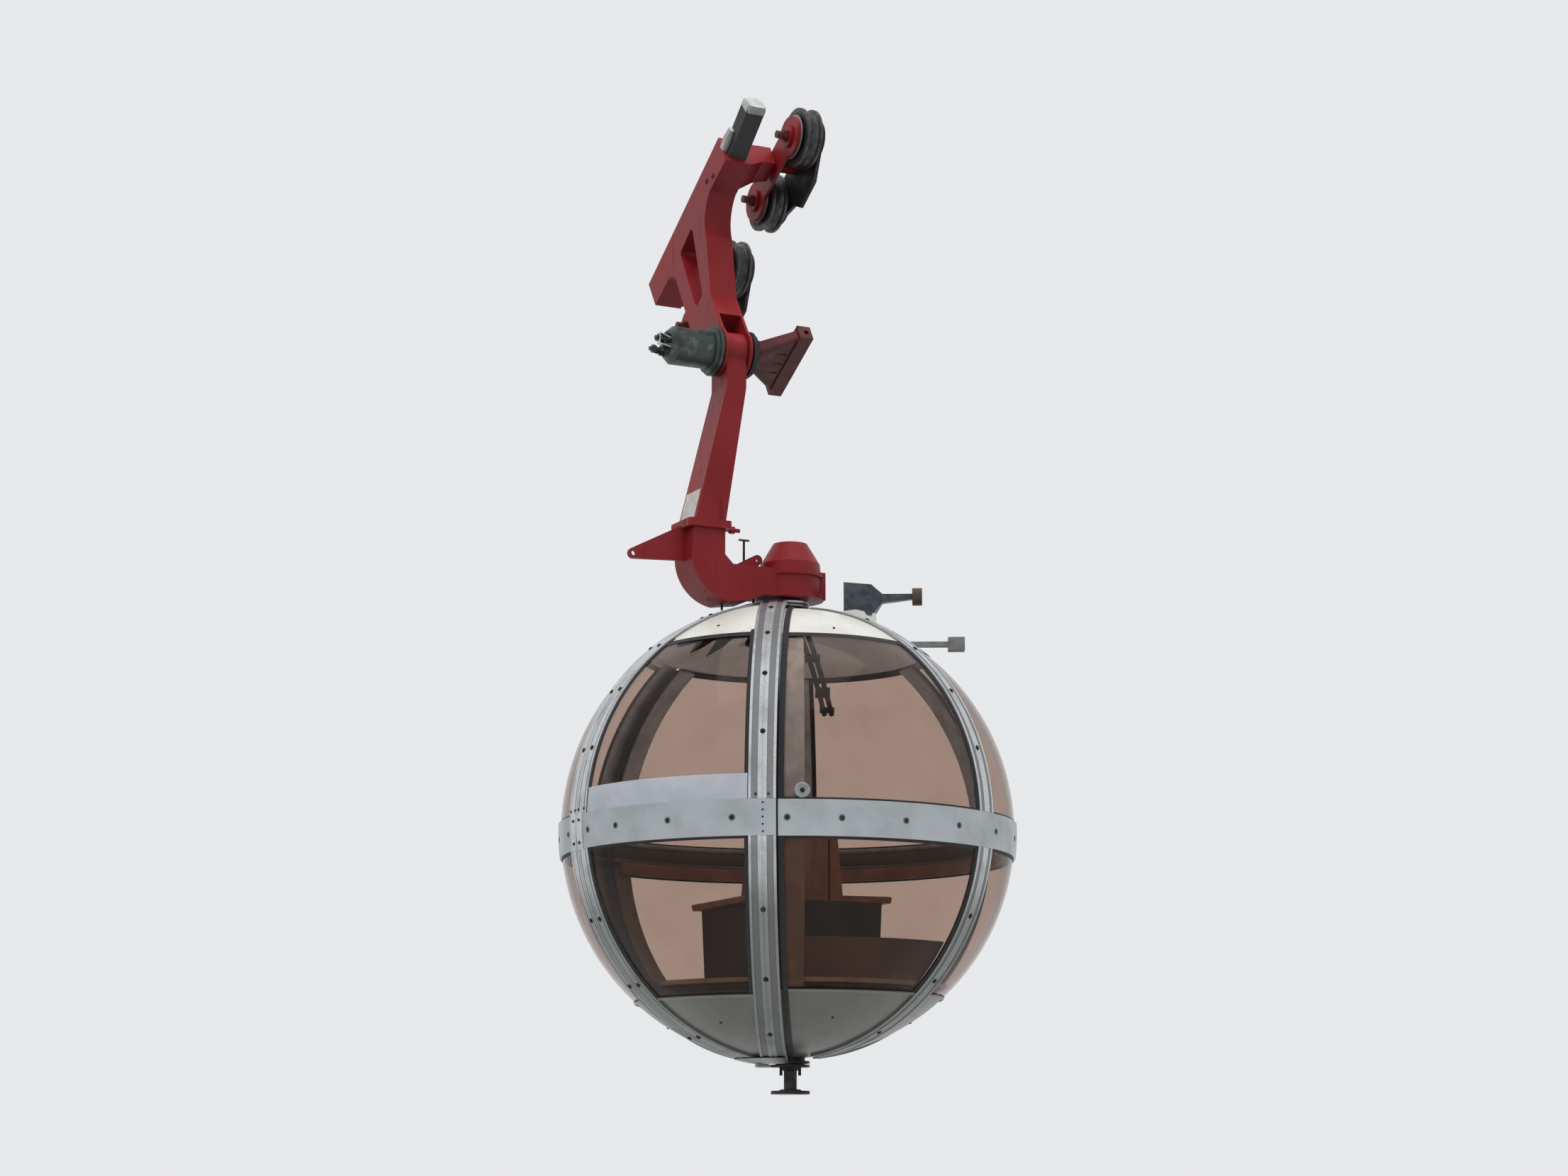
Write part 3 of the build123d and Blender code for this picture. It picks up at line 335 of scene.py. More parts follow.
# %% Inner frame and roof lever
def frame_paint(wire):
    """Grey above the band and brown below it, with thin light lines where the ring's layers meet."""
    level = place(wire, centre=tuple(CABIN)).node_z()
    layers = level.node("ShaderNodeValToRGB", {"stops": (
        (0.0, (0.18, 0.122, 0.086)), (0.30, (0.030, 0.022, 0.018)), (0.44, (0.16, 0.125, 0.095)),
        (0.47, (0.022, 0.018, 0.016)), (0.80, (0.10, 0.075, 0.055)), (0.84, (0.030, 0.025, 0.023)),
        (1.0, (0.50, 0.58, 0.65)))}, (level.node("ShaderNodeMapRange", {}, {
            "Value": level, "From Min": BAND_LOW - 0.001, "From Max": BAND_HIGH + 0.002}),))
    mottle = clouds(wire, 0.08, detail=5.0).between(0.35, 0.7)
    return {"Base Color": (mottle * 0.3).mix(layers, (0.035, 0.028, 0.025)),
            "Roughness": 0.55 + mottle * 0.1,
            "Normal": bump(wire, mottle, 0.0006, 0.2)}


def lever_paint(wire):
    """Blue-grey sheet metal, with a brown roller at the arm's end."""
    spot = place(wire, centre=tuple(CABIN))
    reach = spot.node("ShaderNodeVectorMath", {"operation": "DOT_PRODUCT"},
                      (spot, (sin(radians(60)), -cos(radians(60)), 0.0)), output=1)
    mottle = clouds(wire, 0.05, detail=5.0).between(0.35, 0.7)
    colour = reach.between(0.6205, 0.6215).mix(mottle.mix((0.030, 0.038, 0.050), (0.085, 0.10, 0.12)),
                                               (0.075, 0.050, 0.034))
    return {"Base Color": colour, "Metallic": 0.3, "Roughness": mottle * 0.15 + 0.36,
            "Normal": bump(wire, mottle, 0.0006, 0.3)}

# %% [markdown]
# The other finishes are alike: two near colours in soft mottles, with a fine grain. One function makes them
# all, and the table gives each its colours, its size of mottle and its roughness.

# %% Plain finishes and the table of all
def plain(first, second, size, rough, metal=0.0, grain=0.004):
    """A mottled finish between two colours, with a fine grain."""
    def paint(wire):
        mottle = clouds(wire, size, detail=5.0).between(0.35, 0.7)
        return {"Base Color": mottle.mix(first, second), "Metallic": metal,
                "Roughness": mottle * 0.12 + rough,
                "Normal": bump(wire, clouds(wire, grain, detail=2.0), 0.0006, 0.3)}
    return paint


FINISHES = {
    "red_paint": red_paint,
    "dark_steel": dark_steel,
    "grip_green": grip_green,
    "buffer_grey": plain((0.020, 0.020, 0.022), (0.045, 0.044, 0.044), 0.06, 0.62),
    "rib_aluminium": aluminium(FIXED_OUT),
    "cap_white": cap_white,
    "bronze_glass": bronze_glass,
    "black_rubber": plain((0.010, 0.010, 0.011), (0.022, 0.022, 0.022), 0.03, 0.6),
    "lever_blue": lever_paint,
    "plate_white": plain((0.62, 0.60, 0.57), (0.50, 0.48, 0.45), 0.04, 0.45),
    "floor_tan": plain((0.30, 0.21, 0.13), (0.22, 0.15, 0.09), 0.08, 0.6),
    "bench_black": plain((0.012, 0.012, 0.013), (0.024, 0.023, 0.023), 0.1, 0.5),
    "seat_brown": plain((0.22, 0.095, 0.045), (0.15, 0.062, 0.030), 0.12, 0.42),
    "frame_dark": frame_paint,
    "leaf_aluminium": aluminium(STILE_OUT),
    "sill_paint": plain((0.68, 0.71, 0.78), (0.60, 0.63, 0.70), 0.12, 0.4),
    "ceiling": plain((0.76, 0.86, 0.93), (0.60, 0.68, 0.74), 0.2, 0.6),
    # A darker copy of the red paint, as painted shade, for the clamp, the trucks' axles and the frame's
    # bolts.
    "clamp_red": plain((0.105, 0.012, 0.012), (0.045, 0.010, 0.009), 0.09, 0.5),
    "kick_brown": plain((0.070, 0.036, 0.022), (0.045, 0.024, 0.016), 0.15, 0.45),
    "band_aluminium": plain((0.47, 0.505, 0.515), (0.40, 0.43, 0.435), 0.16, 0.34, metal=0.85),
    "cap_pale": plain((0.47, 0.48, 0.47), (0.35, 0.36, 0.35), 0.05, 0.5),
    "buffer_cap": plain((0.26, 0.27, 0.27), (0.18, 0.185, 0.19), 0.05, 0.5),
}
MATERIALS = {name: finish(name, paint) for name, paint in FINISHES.items()}
print("finishes", len(MATERIALS))

# %% [markdown]
# Every imported piece names a slot, and each slot has a finish of the same name. Five pieces look different
# from their slot in the photo, so they get their own, and each sheave is worn round its own axle.

# %% Dress the imported pieces
# The clamp and the trucks' axles get the darker red, which is painted shade.
OWN_LOOKS = {"haul_clamp": "clamp_red", "truck_upper_axles": "clamp_red",
             "truck_lower_axles": "clamp_red", "roof_latch": "buffer_cap", "kick_panel": "kick_brown"}
GROOVE_DEPTH = 0.018


def dress(piece, look):
    """Puts one finish on the whole piece."""
    piece.data.materials.clear()
    piece.data.materials.append(MATERIALS[look] if isinstance(look, str) else look)


for row in frame["record"]["subparts"]:
    if row["material_slot"] in MATERIALS:
        dress(NODES[row["node"]], row["material_slot"])
for node, look in OWN_LOOKS.items():
    dress(NODES[node], look)
for number in range(1, 5):
    low, high = (np.array(corner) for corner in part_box(f"sheave_{number}"))
    steel = sheave_steel(tuple((low + high) / 2), (high[2] - low[2]) / 2 - GROOVE_DEPTH)
    dress(NODES[f"sheave_{number}"], finish(f"sheave_steel_{number}", steel))
print("dressed", len(NODES), "packed pieces")

# %% [markdown]
# Blender's own primitives could make rings and bars, but not strips that follow a ball with an even
# section. So nearly every new piece is a section, which is a closed loop of points, carried along a path.
# `sweep` joins the loops with quads and closes both ends, so every piece is a closed solid.


# %% From loops of points to a mesh
def build(name, points, faces, look, body, smooth=32):
    """A piece of a body from points and faces, turned outwards and shaded smooth up to an angle."""
    mesh = bpy.data.meshes.new(name)
    mesh.from_pydata(points, [], faces)
    mesh.validate()
    face_outwards(mesh)
    mesh.shade_smooth()
    mesh.set_sharp_from_angle(angle=radians(smooth))
    piece = bpy.data.objects.new(name, mesh)
    bpy.context.scene.collection.objects.link(piece)
    dress(piece, look)
    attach(piece, body)
    return piece


def sweep(name, loops, look, body, closed_path=False):
    """A surface through `loops`, an array of (loops, points, 3). Each loop is closed on itself, and the
    ends get a face each unless the path is closed. Faces are quads between one loop and the next."""
    count, size = loops.shape[:2]
    here = np.arange(count if closed_path else count - 1)[:, None] * size
    there = (here + size) % (count * size)
    along, on = np.arange(size)[None, :], (np.arange(size)[None, :] + 1) % size
    quads = np.stack([here + along, here + on, there + on, there + along], axis=-1).reshape(-1, 4)
    faces = quads.tolist()
    if not closed_path:
        faces += [list(range(size))[::-1], list(range((count - 1) * size, count * size))]
    return build(name, loops.reshape(-1, 3).tolist(), faces, look, body)


def face_outwards(mesh):
    """Turns the faces to point out of a closed mesh, by Blender's own rule."""
    work = bmesh.new()
    work.from_mesh(mesh)
    bmesh.ops.recalc_face_normals(work, faces=work.faces)
    work.to_mesh(mesh)
    work.free()

# %% [markdown]
# A ball has two natural paths: round its axis, which makes bands, panes and domes, and up a meridian,
# which makes strips. `lathe` takes the first and `strap` the second. Both work out all their points as
# one array, which is shorter and faster than a loop over vertices.


# %% Round the axis and up a meridian
def heading(azimuth):
    """The level direction at an azimuth counted from uphill towards +X, for one angle or many."""
    turn = np.radians(azimuth)
    return np.stack([np.sin(turn), -np.cos(turn), np.zeros_like(turn)], axis=-1)


UP = np.array([0.0, 0.0, 1.0])


def lathe(name, profile, start, stop, slot_name, body, steps=48, gaps=(0.0, 0.0)):
    """A closed profile of (radius, height) points turned about the cabin's axis between two azimuths.
    Each point starts and stops where it is `gaps` metres away from those meridians' planes, so that a
    cut edge keeps its width up to the pole. A full turn closes on itself."""
    full = stop - start >= 360
    profile = np.asarray(profile)
    share = np.linspace(0, 1, steps + 1)[:-1 if full else None, None]
    first = start + np.degrees(np.arcsin(gaps[0] / profile[:, 0]))
    last = stop - np.degrees(np.arcsin(gaps[1] / profile[:, 0]))
    out = heading(first + share * (last - first))
    loops = CABIN + out * profile[None, :, :1] + UP * profile[None, :, 1:]
    return sweep(name, loops, slot_name, body, closed_path=full)


def strap(name, profile, azimuth, low, high, slot_name, body, steps=40):
    """A closed profile of (sideways, radius) points carried up a meridian from one elevation to
    another. Each point keeps its distance from the meridian's plane and stays on its own ball."""
    lift = np.radians(np.linspace(low, high, steps + 1))[:, None, None]
    sideways, radius = np.asarray(profile)[None, :, :1], np.asarray(profile)[None, :, 1:]
    out = heading(np.array(azimuth, float)) * np.cos(lift) + UP * np.sin(lift)
    loops = CABIN + heading(np.array(azimuth + 90.0)) * sideways + out * np.sqrt(radius**2 - sideways**2)
    return sweep(name, loops, slot_name, body)

# %% [markdown]
# These are the sections. A wall lies between two balls. A cover strip has a lip along both edges and a
# ridge in the middle, as the real extrusion has, because they catch the light as three bright lines.


# %% Sections of walls, rings and strips
def wall_profile(inner, outer, low, high, steps=24):
    """The section of a ball's wall between two levels, as one loop: up the outer arc, down the inner."""
    rise = np.linspace(np.arcsin(low / outer), np.arcsin(high / outer), steps)
    fall = np.linspace(np.arcsin(high / inner), np.arcsin(low / inner), steps)
    return np.concatenate([np.stack([outer * np.cos(rise), outer * np.sin(rise)], axis=-1),
                           np.stack([inner * np.cos(fall), inner * np.sin(fall)], axis=-1)])


def block_profile(inner, outer, low, high, bevel=0.001):
    """A rectangle in (radius, height), with its two outer corners bevelled."""
    return [(inner, low), (outer - bevel, low), (outer, low + bevel), (outer, high - bevel),
            (outer - bevel, high), (inner, high)]


def rib_profile(left, right, inner, outer):
    """The section of an extruded cover strip: a lip at both edges and a middle ridge with a fine line
    in it, 3 mm over the flats between them. Every point is (sideways, radius)."""
    middle, lip, ridge, deep, bevel = (left + right) / 2, 0.013, 0.021, 0.003, 0.0015
    half = [(right - middle, outer - bevel), (right - middle - bevel, outer),
            (right - middle - lip, outer), (right - middle - lip - bevel, outer - deep),
            (ridge + bevel, outer - deep), (ridge, outer), (0.004, outer), (0.0025, outer - bevel)]
    across = [(middle + side, radius) for side, radius in half]
    back = [(middle - side, radius) for side, radius in reversed(half)]
    return across + back + [(left, inner), (middle, inner), (right, inner)]


def flat_strip(left, right, inner, outer, bevel=0.001):
    """A plain strip's section, as (sideways, radius) points."""
    middle = (left + right) / 2
    return [(right, outer - bevel), (right - bevel, outer), (middle, outer), (left + bevel, outer),
            (left, outer - bevel), (left, inner), (middle, inner), (right, inner)]


def join(name, pieces):
    """Makes one piece of several, which keeps the first one's body and finish."""
    with bpy.context.temp_override(active_object=pieces[0], selected_editable_objects=pieces):
        bpy.ops.object.join()
    pieces[0].name = name
    return pieces[0]


# %% [markdown]
# The camera stands at the photo's viewpoint, low and uphill of the cabin. Its place was worked out from
# the ball's width and the carriage's slope. With the photo's own frame the object would be small and high
# in the picture, so the camera turns up to it and zooms in, which keeps the viewpoint.

# %% Camera
EYE = np.array([-6.591, -13.391, -4.772])
AIM = np.array([-0.05, -0.42, -1.88])
LENS, SENSOR = 67.0, 36.0
camera_data = bpy.data.cameras.new("camera")
camera_data.lens = LENS
camera_data.sensor_width = SENSOR
camera = bpy.data.objects.new("camera", camera_data)
bpy.context.scene.collection.objects.link(camera)
look = Vector(AIM - EYE)
turn = look.to_track_quat("-Z", "Y").to_matrix().to_4x4()
camera.matrix_world = Matrix.Translation(Vector(EYE)) @ turn
bpy.context.scene.camera = camera
print("camera distance", round(look.length, 2))

# %% [markdown]
# The photo's light is overcast: soft, and pale behind the object. A world as pale as that would wash the
# object out if it also lit it. The Light Path node tells which rays look at the background, so those see
# the world at full strength, and the rays that light the object get about half of it.

# %% Pale world
PALE = (0.80, 0.81, 0.83)
AMBIENT = 0.52
world = bpy.data.worlds.new("studio")
bpy.context.scene.world = world
world.use_nodes = True
background = world.node_tree.nodes["Background"]
background.inputs["Color"].default_value = (*PALE, 1.0)


def background_ray(wire):
    """1 for the rays that show the background: camera, glossy and transmission rays."""
    camera_ray, glossy, through = (wire.node("ShaderNodeLightPath", output=k) for k in (0, 3, 6))
    return wire.maths("MAXIMUM", wire.maths("MAXIMUM", camera_ray, glossy), through)


seen = background_ray(Wire(world.node_tree))
world.node_tree.links.new((AMBIENT + seen * (1.0 - AMBIENT)).socket, background.inputs["Strength"])
print("world", PALE, "lights the object at", AMBIENT)

# %% [markdown]
# The floor lies just under the camera and runs far past the object, so that its edge is out of sight. A
# plain grey plane would meet the world in a hard line. A glow brings it up to the world's tone, and its
# grey still takes the object's soft shadow.

# %% Floor
FLOOR_Z = EYE[2] - 0.10
FLOOR_SIDE, FLOOR_FAR = 60, 120
FLOOR_GREY, FLOOR_GLOW = (0.29, 0.29, 0.30), (0.675, 0.685, 0.70)
floor_mesh = bpy.data.meshes.new("floor")
floor_mesh.from_pydata([(-FLOOR_SIDE, -FLOOR_SIDE, FLOOR_Z), (FLOOR_SIDE, -FLOOR_SIDE, FLOOR_Z),
                        (FLOOR_SIDE, FLOOR_FAR, FLOOR_Z), (-FLOOR_SIDE, FLOOR_FAR, FLOOR_Z)],
                       [], [(0, 1, 2, 3)])
floor = bpy.data.objects.new("floor", floor_mesh)
bpy.context.scene.collection.objects.link(floor)
floor_mesh.materials.append(finish("floor", lambda wire: {
    "Base Color": (*FLOOR_GREY, 1.0), "Roughness": 0.9, "Specular IOR Level": 0.0,
    "Emission Strength": 1.0,
    "Emission Color": background_ray(wire).mix((0.0, 0.0, 0.0), FLOOR_GLOW)}))
print("floor", round(CABIN[2] - FLOOR_Z, 2), "m under the cabin's centre")

# %% [markdown]
# A large lamp overhead gives the main light, and a weaker one at the camera's side lifts the faces that
# turn to it. Both are wide, because a small lamp draws hard shadows that an overcast day doesn't have.

# %% Lamps
LAMPS = (("top", (-1.0, -1.5, 7.5), (0.0, -0.4, -2.0), 9.0, 1050.0),
         ("key", (-8.0, -7.0, 3.0), AIM, 6.0, 160.0))
for name, where, aim, size, power in LAMPS:
    data = bpy.data.lights.new(name, "AREA")
    data.size, data.energy = size, power
    holder = bpy.data.objects.new(name, data)
    bpy.context.scene.collection.objects.link(holder)
    turn = (Vector(aim) - Vector(where)).to_track_quat("-Z", "Y").to_matrix().to_4x4()
    holder.matrix_world = Matrix.Translation(Vector(where)) @ turn
    holder.visible_glossy = False
    print("lamp", name, power, "W,", size, "m wide")

# %% [markdown]
# The roof, the pan and the panes are parts of one ball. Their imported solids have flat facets, which a
# glossy ball shows at once, so they are made again as fine smooth surfaces on the very same radii. Each
# one replaces its plain solid.

# %% Smooth roof and pan
ROOF_RIM, FLOOR_RIM, POLE_HOLE = 0.890, 0.830, 0.0453
WINDOW_TOP, WINDOW_LOW = degrees(asin(ROOF_RIM / GLASS_R)), degrees(asin(FLOOR_RIM / GLASS_R))


def dome_profile(inner, outer, rim, hole, side, steps=20):
    """The section of a dome from its rim to a hole at the pole. `side` is 1 for up and -1 for down."""
    rise = np.linspace(np.arcsin(rim / outer), np.arccos(hole / outer), steps)
    fall = np.linspace(np.arccos(hole / inner), np.arcsin(rim / inner), steps)
    loop = np.concatenate([np.stack([outer * np.cos(rise), outer * np.sin(rise)], axis=-1),
                           np.stack([inner * np.cos(fall), inner * np.sin(fall)], axis=-1)])
    return loop * (1, side)


roof = lathe("roof_shell", dome_profile(INNER_R, GLASS_R, ROOF_RIM, POLE_HOLE, 1), 0, 360,
             "cap_white", "cabin", steps=144)
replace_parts(roof, "roof_cap")
pan = lathe("pan_shell", dome_profile(INNER_R, GLASS_R, FLOOR_RIM, POLE_HOLE, -1), 0, 360,
            "cap_white", "cabin", steps=144)
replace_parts(pan, "floor_pan")
print("windows from", round(-WINDOW_LOW, 1), "to", round(WINDOW_TOP, 1), "degrees")

# %% [markdown]
# Four bays of the fixed shell are glazed, and the doors take up the other two sixths. A sheet with a
# texture for its edge would have no thickness to refract in, so every pane is a closed wall 8 mm thick.
# The upper and lower panes stop behind the band.

# %% Panes of the fixed shell
EDGE, BAY_MARGIN, PANE_LAP = 30.0, 0.25, 0.010
BAYS = (-EDGE, EDGE, EDGE + 60, EDGE + 120)
for node, low, high in (("panes_upper", BAND_MID + PANE_LAP, ROOF_RIM - 0.0005),
                        ("panes_lower", -FLOOR_RIM + 0.0005, BAND_MID - PANE_LAP)):
    panes = [lathe(f"{node}_{i}", wall_profile(INNER_R, GLASS_R, low, high), start + BAY_MARGIN,
                   start + 60 - BAY_MARGIN, "bronze_glass", "cabin") for i, start in enumerate(BAYS)]
    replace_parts(join(f"{node}_glass", panes), node)
    print(node, "from", round(low, 3), "to", round(high, 3))

# %% [markdown]
# The cover strips are aluminium extrusions that clasp the panes' edges. An extrusion is one section all
# along, so it is made in the same way: the section goes up and down each meridian, and every point of it
# stays on its own ball. The strips stop at the band, which runs across them.

# %% Ribs and jambs of the fixed shell
POLE_R, RIB_HALF, HALF_GAP = 0.160, 0.065, 0.003
RIB_END = degrees(acos(POLE_R / FIXED_OUT))
RIBS_AT = (EDGE, EDGE + 60, EDGE + 120)
JAMB_SEAL, JAMB_STEP = 0.031, 0.004
JAMBS = ((-EDGE, HALF_GAP, JAMB_SEAL), (180 + EDGE, -JAMB_SEAL, -HALF_GAP))


def band_edges(radius):
    """The side and the elevation at which the strips of a ball stop, above the band and below it."""
    return ((1, degrees(asin(BAND_HIGH / radius)) + 0.05), (-1, degrees(asin(-BAND_LOW / radius)) + 0.05))


def both_halves(name, profile, azimuth, radius, high, look, body):
    """The same strip above and below the band, up to an elevation."""
    return [strap(f"{name}_{side}", profile, azimuth, *sorted((side * low, side * high)), look, body)
            for side, low in band_edges(radius)]


ribs = [part for i, azimuth in enumerate(RIBS_AT)
        for part in both_halves(f"rib_{i}", rib_profile(-RIB_HALF, RIB_HALF, GLASS_R + SEAT, FIXED_OUT),
                                azimuth, FIXED_OUT, RIB_END, "rib_aluminium", "cabin")]
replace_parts(join("ribs", ribs), "fixed_ribs")

jambs = [part for i, (azimuth, left, right) in enumerate(JAMBS)
         for part in both_halves(f"jamb_{i}", flat_strip(left, right, GLASS_R + SEAT,
                                                         FIXED_OUT - JAMB_STEP),
                                 azimuth, FIXED_OUT, RIB_END, "black_rubber", "cabin")]
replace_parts(join("jamb_seals", jambs), "door_jambs")
print("ribs", 2 * len(RIBS_AT), "ending at", round(RIB_END, 1), "degrees")

# %% [markdown]
# A flat band runs round the middle and covers the joint of the panes. A plain upright ring would be
# enough to look at, but the leaves slide over it with 6 mm to spare, so its section follows the ball.
# Rubber closes the band's ends beside the doors.

# %% Band of the fixed shell
BAND_STEPS, SEAL_ENDS = 160, (-7.5, 1.4)
for azimuth, left, right in ((-EDGE, -0.010, 0.0045), (180 + EDGE, -0.0045, 0.010)):
    strap(f"band_seal_{azimuth:.0f}", flat_strip(left, right, GLASS_R + SEAT, FIXED_OUT - 0.001),
          azimuth, *SEAL_ENDS, "black_rubber", "cabin", steps=8)
band = lathe("middle_band", wall_profile(GLASS_R + SEAT, FIXED_OUT, BAND_LOW, BAND_HIGH, 10),
             -EDGE + BAY_MARGIN, 180 + EDGE - BAY_MARGIN, "band_aluminium", "cabin",
             steps=BAND_STEPS)
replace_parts(band, "fixed_band")
print("band", round(BAND_HIGH - BAND_LOW, 3), "m high")

# %% [markdown]
# Inside, a post stands behind each strip and a ring joins them behind the band. They show through the
# glass, so straight posts would give themselves away, and these follow the ball as well. A dark seal
# beside each door post keeps light from the slit between the post and the leaf.

# %% Posts and ring inside the shell
BACKING = INNER_R - SEAT
POST_HALF, POST_T, POST_INSET, POST_ENDS = 0.060, 0.0138, 3.5, (-47.8, 52.7)
DOOR_POSTS = (-EDGE + POST_INSET, 180 + EDGE - POST_INSET)
LAYERS_T = 0.0140
SEAL_NEAR, SEAL_FAR, SEAL_T, SEAL_SPAN = 0.058, 0.120, 0.004, (-47.0, 52.5)
backing = [lathe("ring", wall_profile(BACKING - LAYERS_T, BACKING - 0.0002, BAND_LOW, BAND_HIGH, 6),
                 -EDGE + 1, 179 + EDGE, "frame_dark", "cabin", steps=BAND_STEPS)]
backing += [strap("post", flat_strip(-POST_HALF, POST_HALF, BACKING - POST_T, BACKING), azimuth,
                  *POST_ENDS, "frame_dark", "cabin")
            for azimuth in (DOOR_POSTS[0], *RIBS_AT, DOOR_POSTS[1])]
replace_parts(join("inner_posts", backing), "inner_frame")
for azimuth, hand in zip(DOOR_POSTS, (-1, 1)):
    across = sorted((hand * SEAL_NEAR, hand * SEAL_FAR))
    strap(f"post_seal_{azimuth:.0f}", flat_strip(*across, BACKING - SEAL_T, BACKING), azimuth,
          *SEAL_SPAN, "black_rubber", "cabin", steps=60)
print("posts", len(RIBS_AT) + len(DOOR_POSTS), "behind the strips")

# %% [markdown]
# Each door leaf is a sixth of a slightly larger ball. Both leaves hang on rings round the king pins, so
# they slide round the ball when they open. A crown plate ties the stiles to the ring at either pole.
# A leaf's pieces are all turned or carried about the same centre, so nothing shifts when it turns.

# %% Frames of the door leaves
RING_R, RING_T, RING_IN, RING_LIFT = 0.096, 0.012, 0.04505, 0.003
RINGS = (FIXED_OUT + RING_LIFT, FIXED_OUT + RING_LIFT + RING_T + SWING_GAP)
RING_SOLID_R = 0.126
TONGUE_OUT = POLE_R + 0.014
STILE_STOP, CROWN_R, CROWN_T, TONGUE = 0.206, 0.262, 0.004, 1.4
MEETING, RIB_W = 0.096, 2 * RIB_HALF
STILE_IN = LEAF_OUT + SEAT
STILE_END = degrees(acos(STILE_STOP / STILE_OUT))
LEAVES = (("front", -90.0, MEETING, RIB_W, 0), ("rear", -150.0, RIB_W, MEETING, 1))


def leaf_frame(name, first, widths, ring):
    """The stiles, crown plates, tongues and rings of one leaf."""
    body, last = f"door_{name}", first + 60
    stiles = ((first, HALF_GAP, HALF_GAP + widths[0]), (last, -HALF_GAP - widths[1], -HALF_GAP))
    parts = [part for i, (azimuth, left, right) in enumerate(stiles)
             for part in both_halves(f"stile_{i}", rib_profile(left, right, STILE_IN, STILE_OUT),
                                     azimuth, STILE_OUT, STILE_END, "leaf_aluminium", body)]
    low = RINGS[ring]
    flats = [(RING_R - 0.01, TONGUE_OUT, low, low + RING_T)]
    if ring:
        flats.append((RING_SOLID_R, TONGUE_OUT, RINGS[0], low + 0.001))
    crown = dome_profile(STILE_IN + SEAT, STILE_OUT + CROWN_T, sqrt(STILE_OUT**2 - CROWN_R**2),
                         POLE_R - 0.010, 1)
    for side in (1, -1):
        lathe(f"ring_{name}_{side}", block_profile(RING_IN, RING_R, *sorted(
            (side * low, side * (low + RING_T)))), 0, 360,
            "leaf_aluminium" if side > 0 else "dark_steel", body, steps=96)
        parts += [lathe("tongue", block_profile(near, far, *sorted((side * bottom, side * top))),
                        first + TONGUE, last - TONGUE, "leaf_aluminium", body)
                  for near, far, bottom, top in flats]
        parts.append(lathe("crown", crown * (1, side), first + TONGUE, last - TONGUE,
                           "leaf_aluminium", body))
    return join(f"leaf_{name}_frame", parts)


# %% [markdown]
# A leaf carries its own caps, panes and band. They could be cut from a whole ball with booleans, which
# leaves long thin faces. They are walls like the fixed shell's instead, and `gaps` holds both edges off
# the meridian, which leaves a slit of even width where the leaves meet.

# %% Caps, panes and bands of the leaves
CUTS = (HALF_GAP, HALF_GAP)
SPLICE = 0.0033
for name, first, first_width, last_width, ring in LEAVES:
    body, last = f"door_{name}", first + 60
    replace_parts(leaf_frame(name, first, (first_width, last_width), ring), f"door_{name}_frame")
    caps = [lathe("cap", dome_profile(LEAF_IN, LEAF_OUT, rim, POLE_R + 0.015, side), first, last,
                  "cap_white", body, gaps=CUTS)
            for rim, side in ((ROOF_RIM - 0.004, 1), (FLOOR_RIM + 0.024, -1))]
    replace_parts(join(f"leaf_{name}_caps", caps), f"door_{name}_caps")
    glass = [lathe("pane", wall_profile(LEAF_IN, LEAF_OUT, low, high), first, last, "bronze_glass",
                   body, gaps=CUTS)
             for low, high in ((BAND_MID + PANE_LAP, ROOF_RIM - 0.0045),
                               (-FLOOR_RIM - 0.0235, BAND_MID - PANE_LAP))]
    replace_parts(join(f"leaf_{name}_glass", glass), f"door_{name}_panes")
    leaf_band = lathe(f"leaf_{name}_band",
                      wall_profile(STILE_IN + SPLICE, STILE_OUT, BAND_LOW, BAND_HIGH, 10),
                      first, last, "band_aluminium", body, gaps=CUTS)
    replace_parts(leaf_band, f"door_{name}_band")
    print("leaf", name, "from", first, "to", last, "degrees")

# %% [markdown]
# The stiles' backs are dark, because bare metal would show bright through the panes behind them. On the
# front leaf a pale strip stands on the band between the stiles.

# %% Linings of the stiles and the pale strip
LINING_T, SILL_T, SILL_H, SILL_MARGIN = 0.0012, 0.006, 0.120, 0.004
for name, first, first_width, last_width, ring in LEAVES:
    for azimuth, left, right in ((first, HALF_GAP, HALF_GAP + first_width),
                                 (first + 60, -HALF_GAP - last_width, -HALF_GAP)):
        strap(f"stile_lining_{name}_{azimuth:.0f}",
              flat_strip(left, right, LEAF_IN - LINING_T, LEAF_IN - SEAT, 0.0003), azimuth,
              -WINDOW_LOW - 1.5, WINDOW_TOP, "frame_dark", f"door_{name}", steps=60)
sill_foot = BAND_HIGH + 0.001
SILL = lathe("sill", wall_profile(STILE_IN, STILE_IN + SILL_T, sill_foot, sill_foot + SILL_H, 8),
             -90, -30, "sill_paint", "door_front",
             gaps=(HALF_GAP + MEETING + SILL_MARGIN, HALF_GAP + RIB_W + SILL_MARGIN))
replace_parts(SILL, "sill_strip")
print("pale strip", SILL_H, "m high")

# %% [markdown]
# Black rubber holds every pane. It shows as a dark line along the strips, under the roof's rim and along
# both edges of the band. A dark colour on the glass would look flat, so each line is a low strip that
# stands a few millimetres off it.

# %% Rubber round the windows
RUBBER, RUBBER_T, RIM_T = 0.019, 0.0042, 0.0034


def window_sides(name, profile, azimuth, look, body):
    """One line beside the upper window, up to the roof's rim, and one beside the lower window."""
    (_, above), (_, below) = band_edges(FIXED_OUT)
    return [strap(name, profile, azimuth, above + 0.1, WINDOW_TOP, look, body),
            strap(name, profile, azimuth, -WINDOW_LOW, -below - 0.1, look, body)]


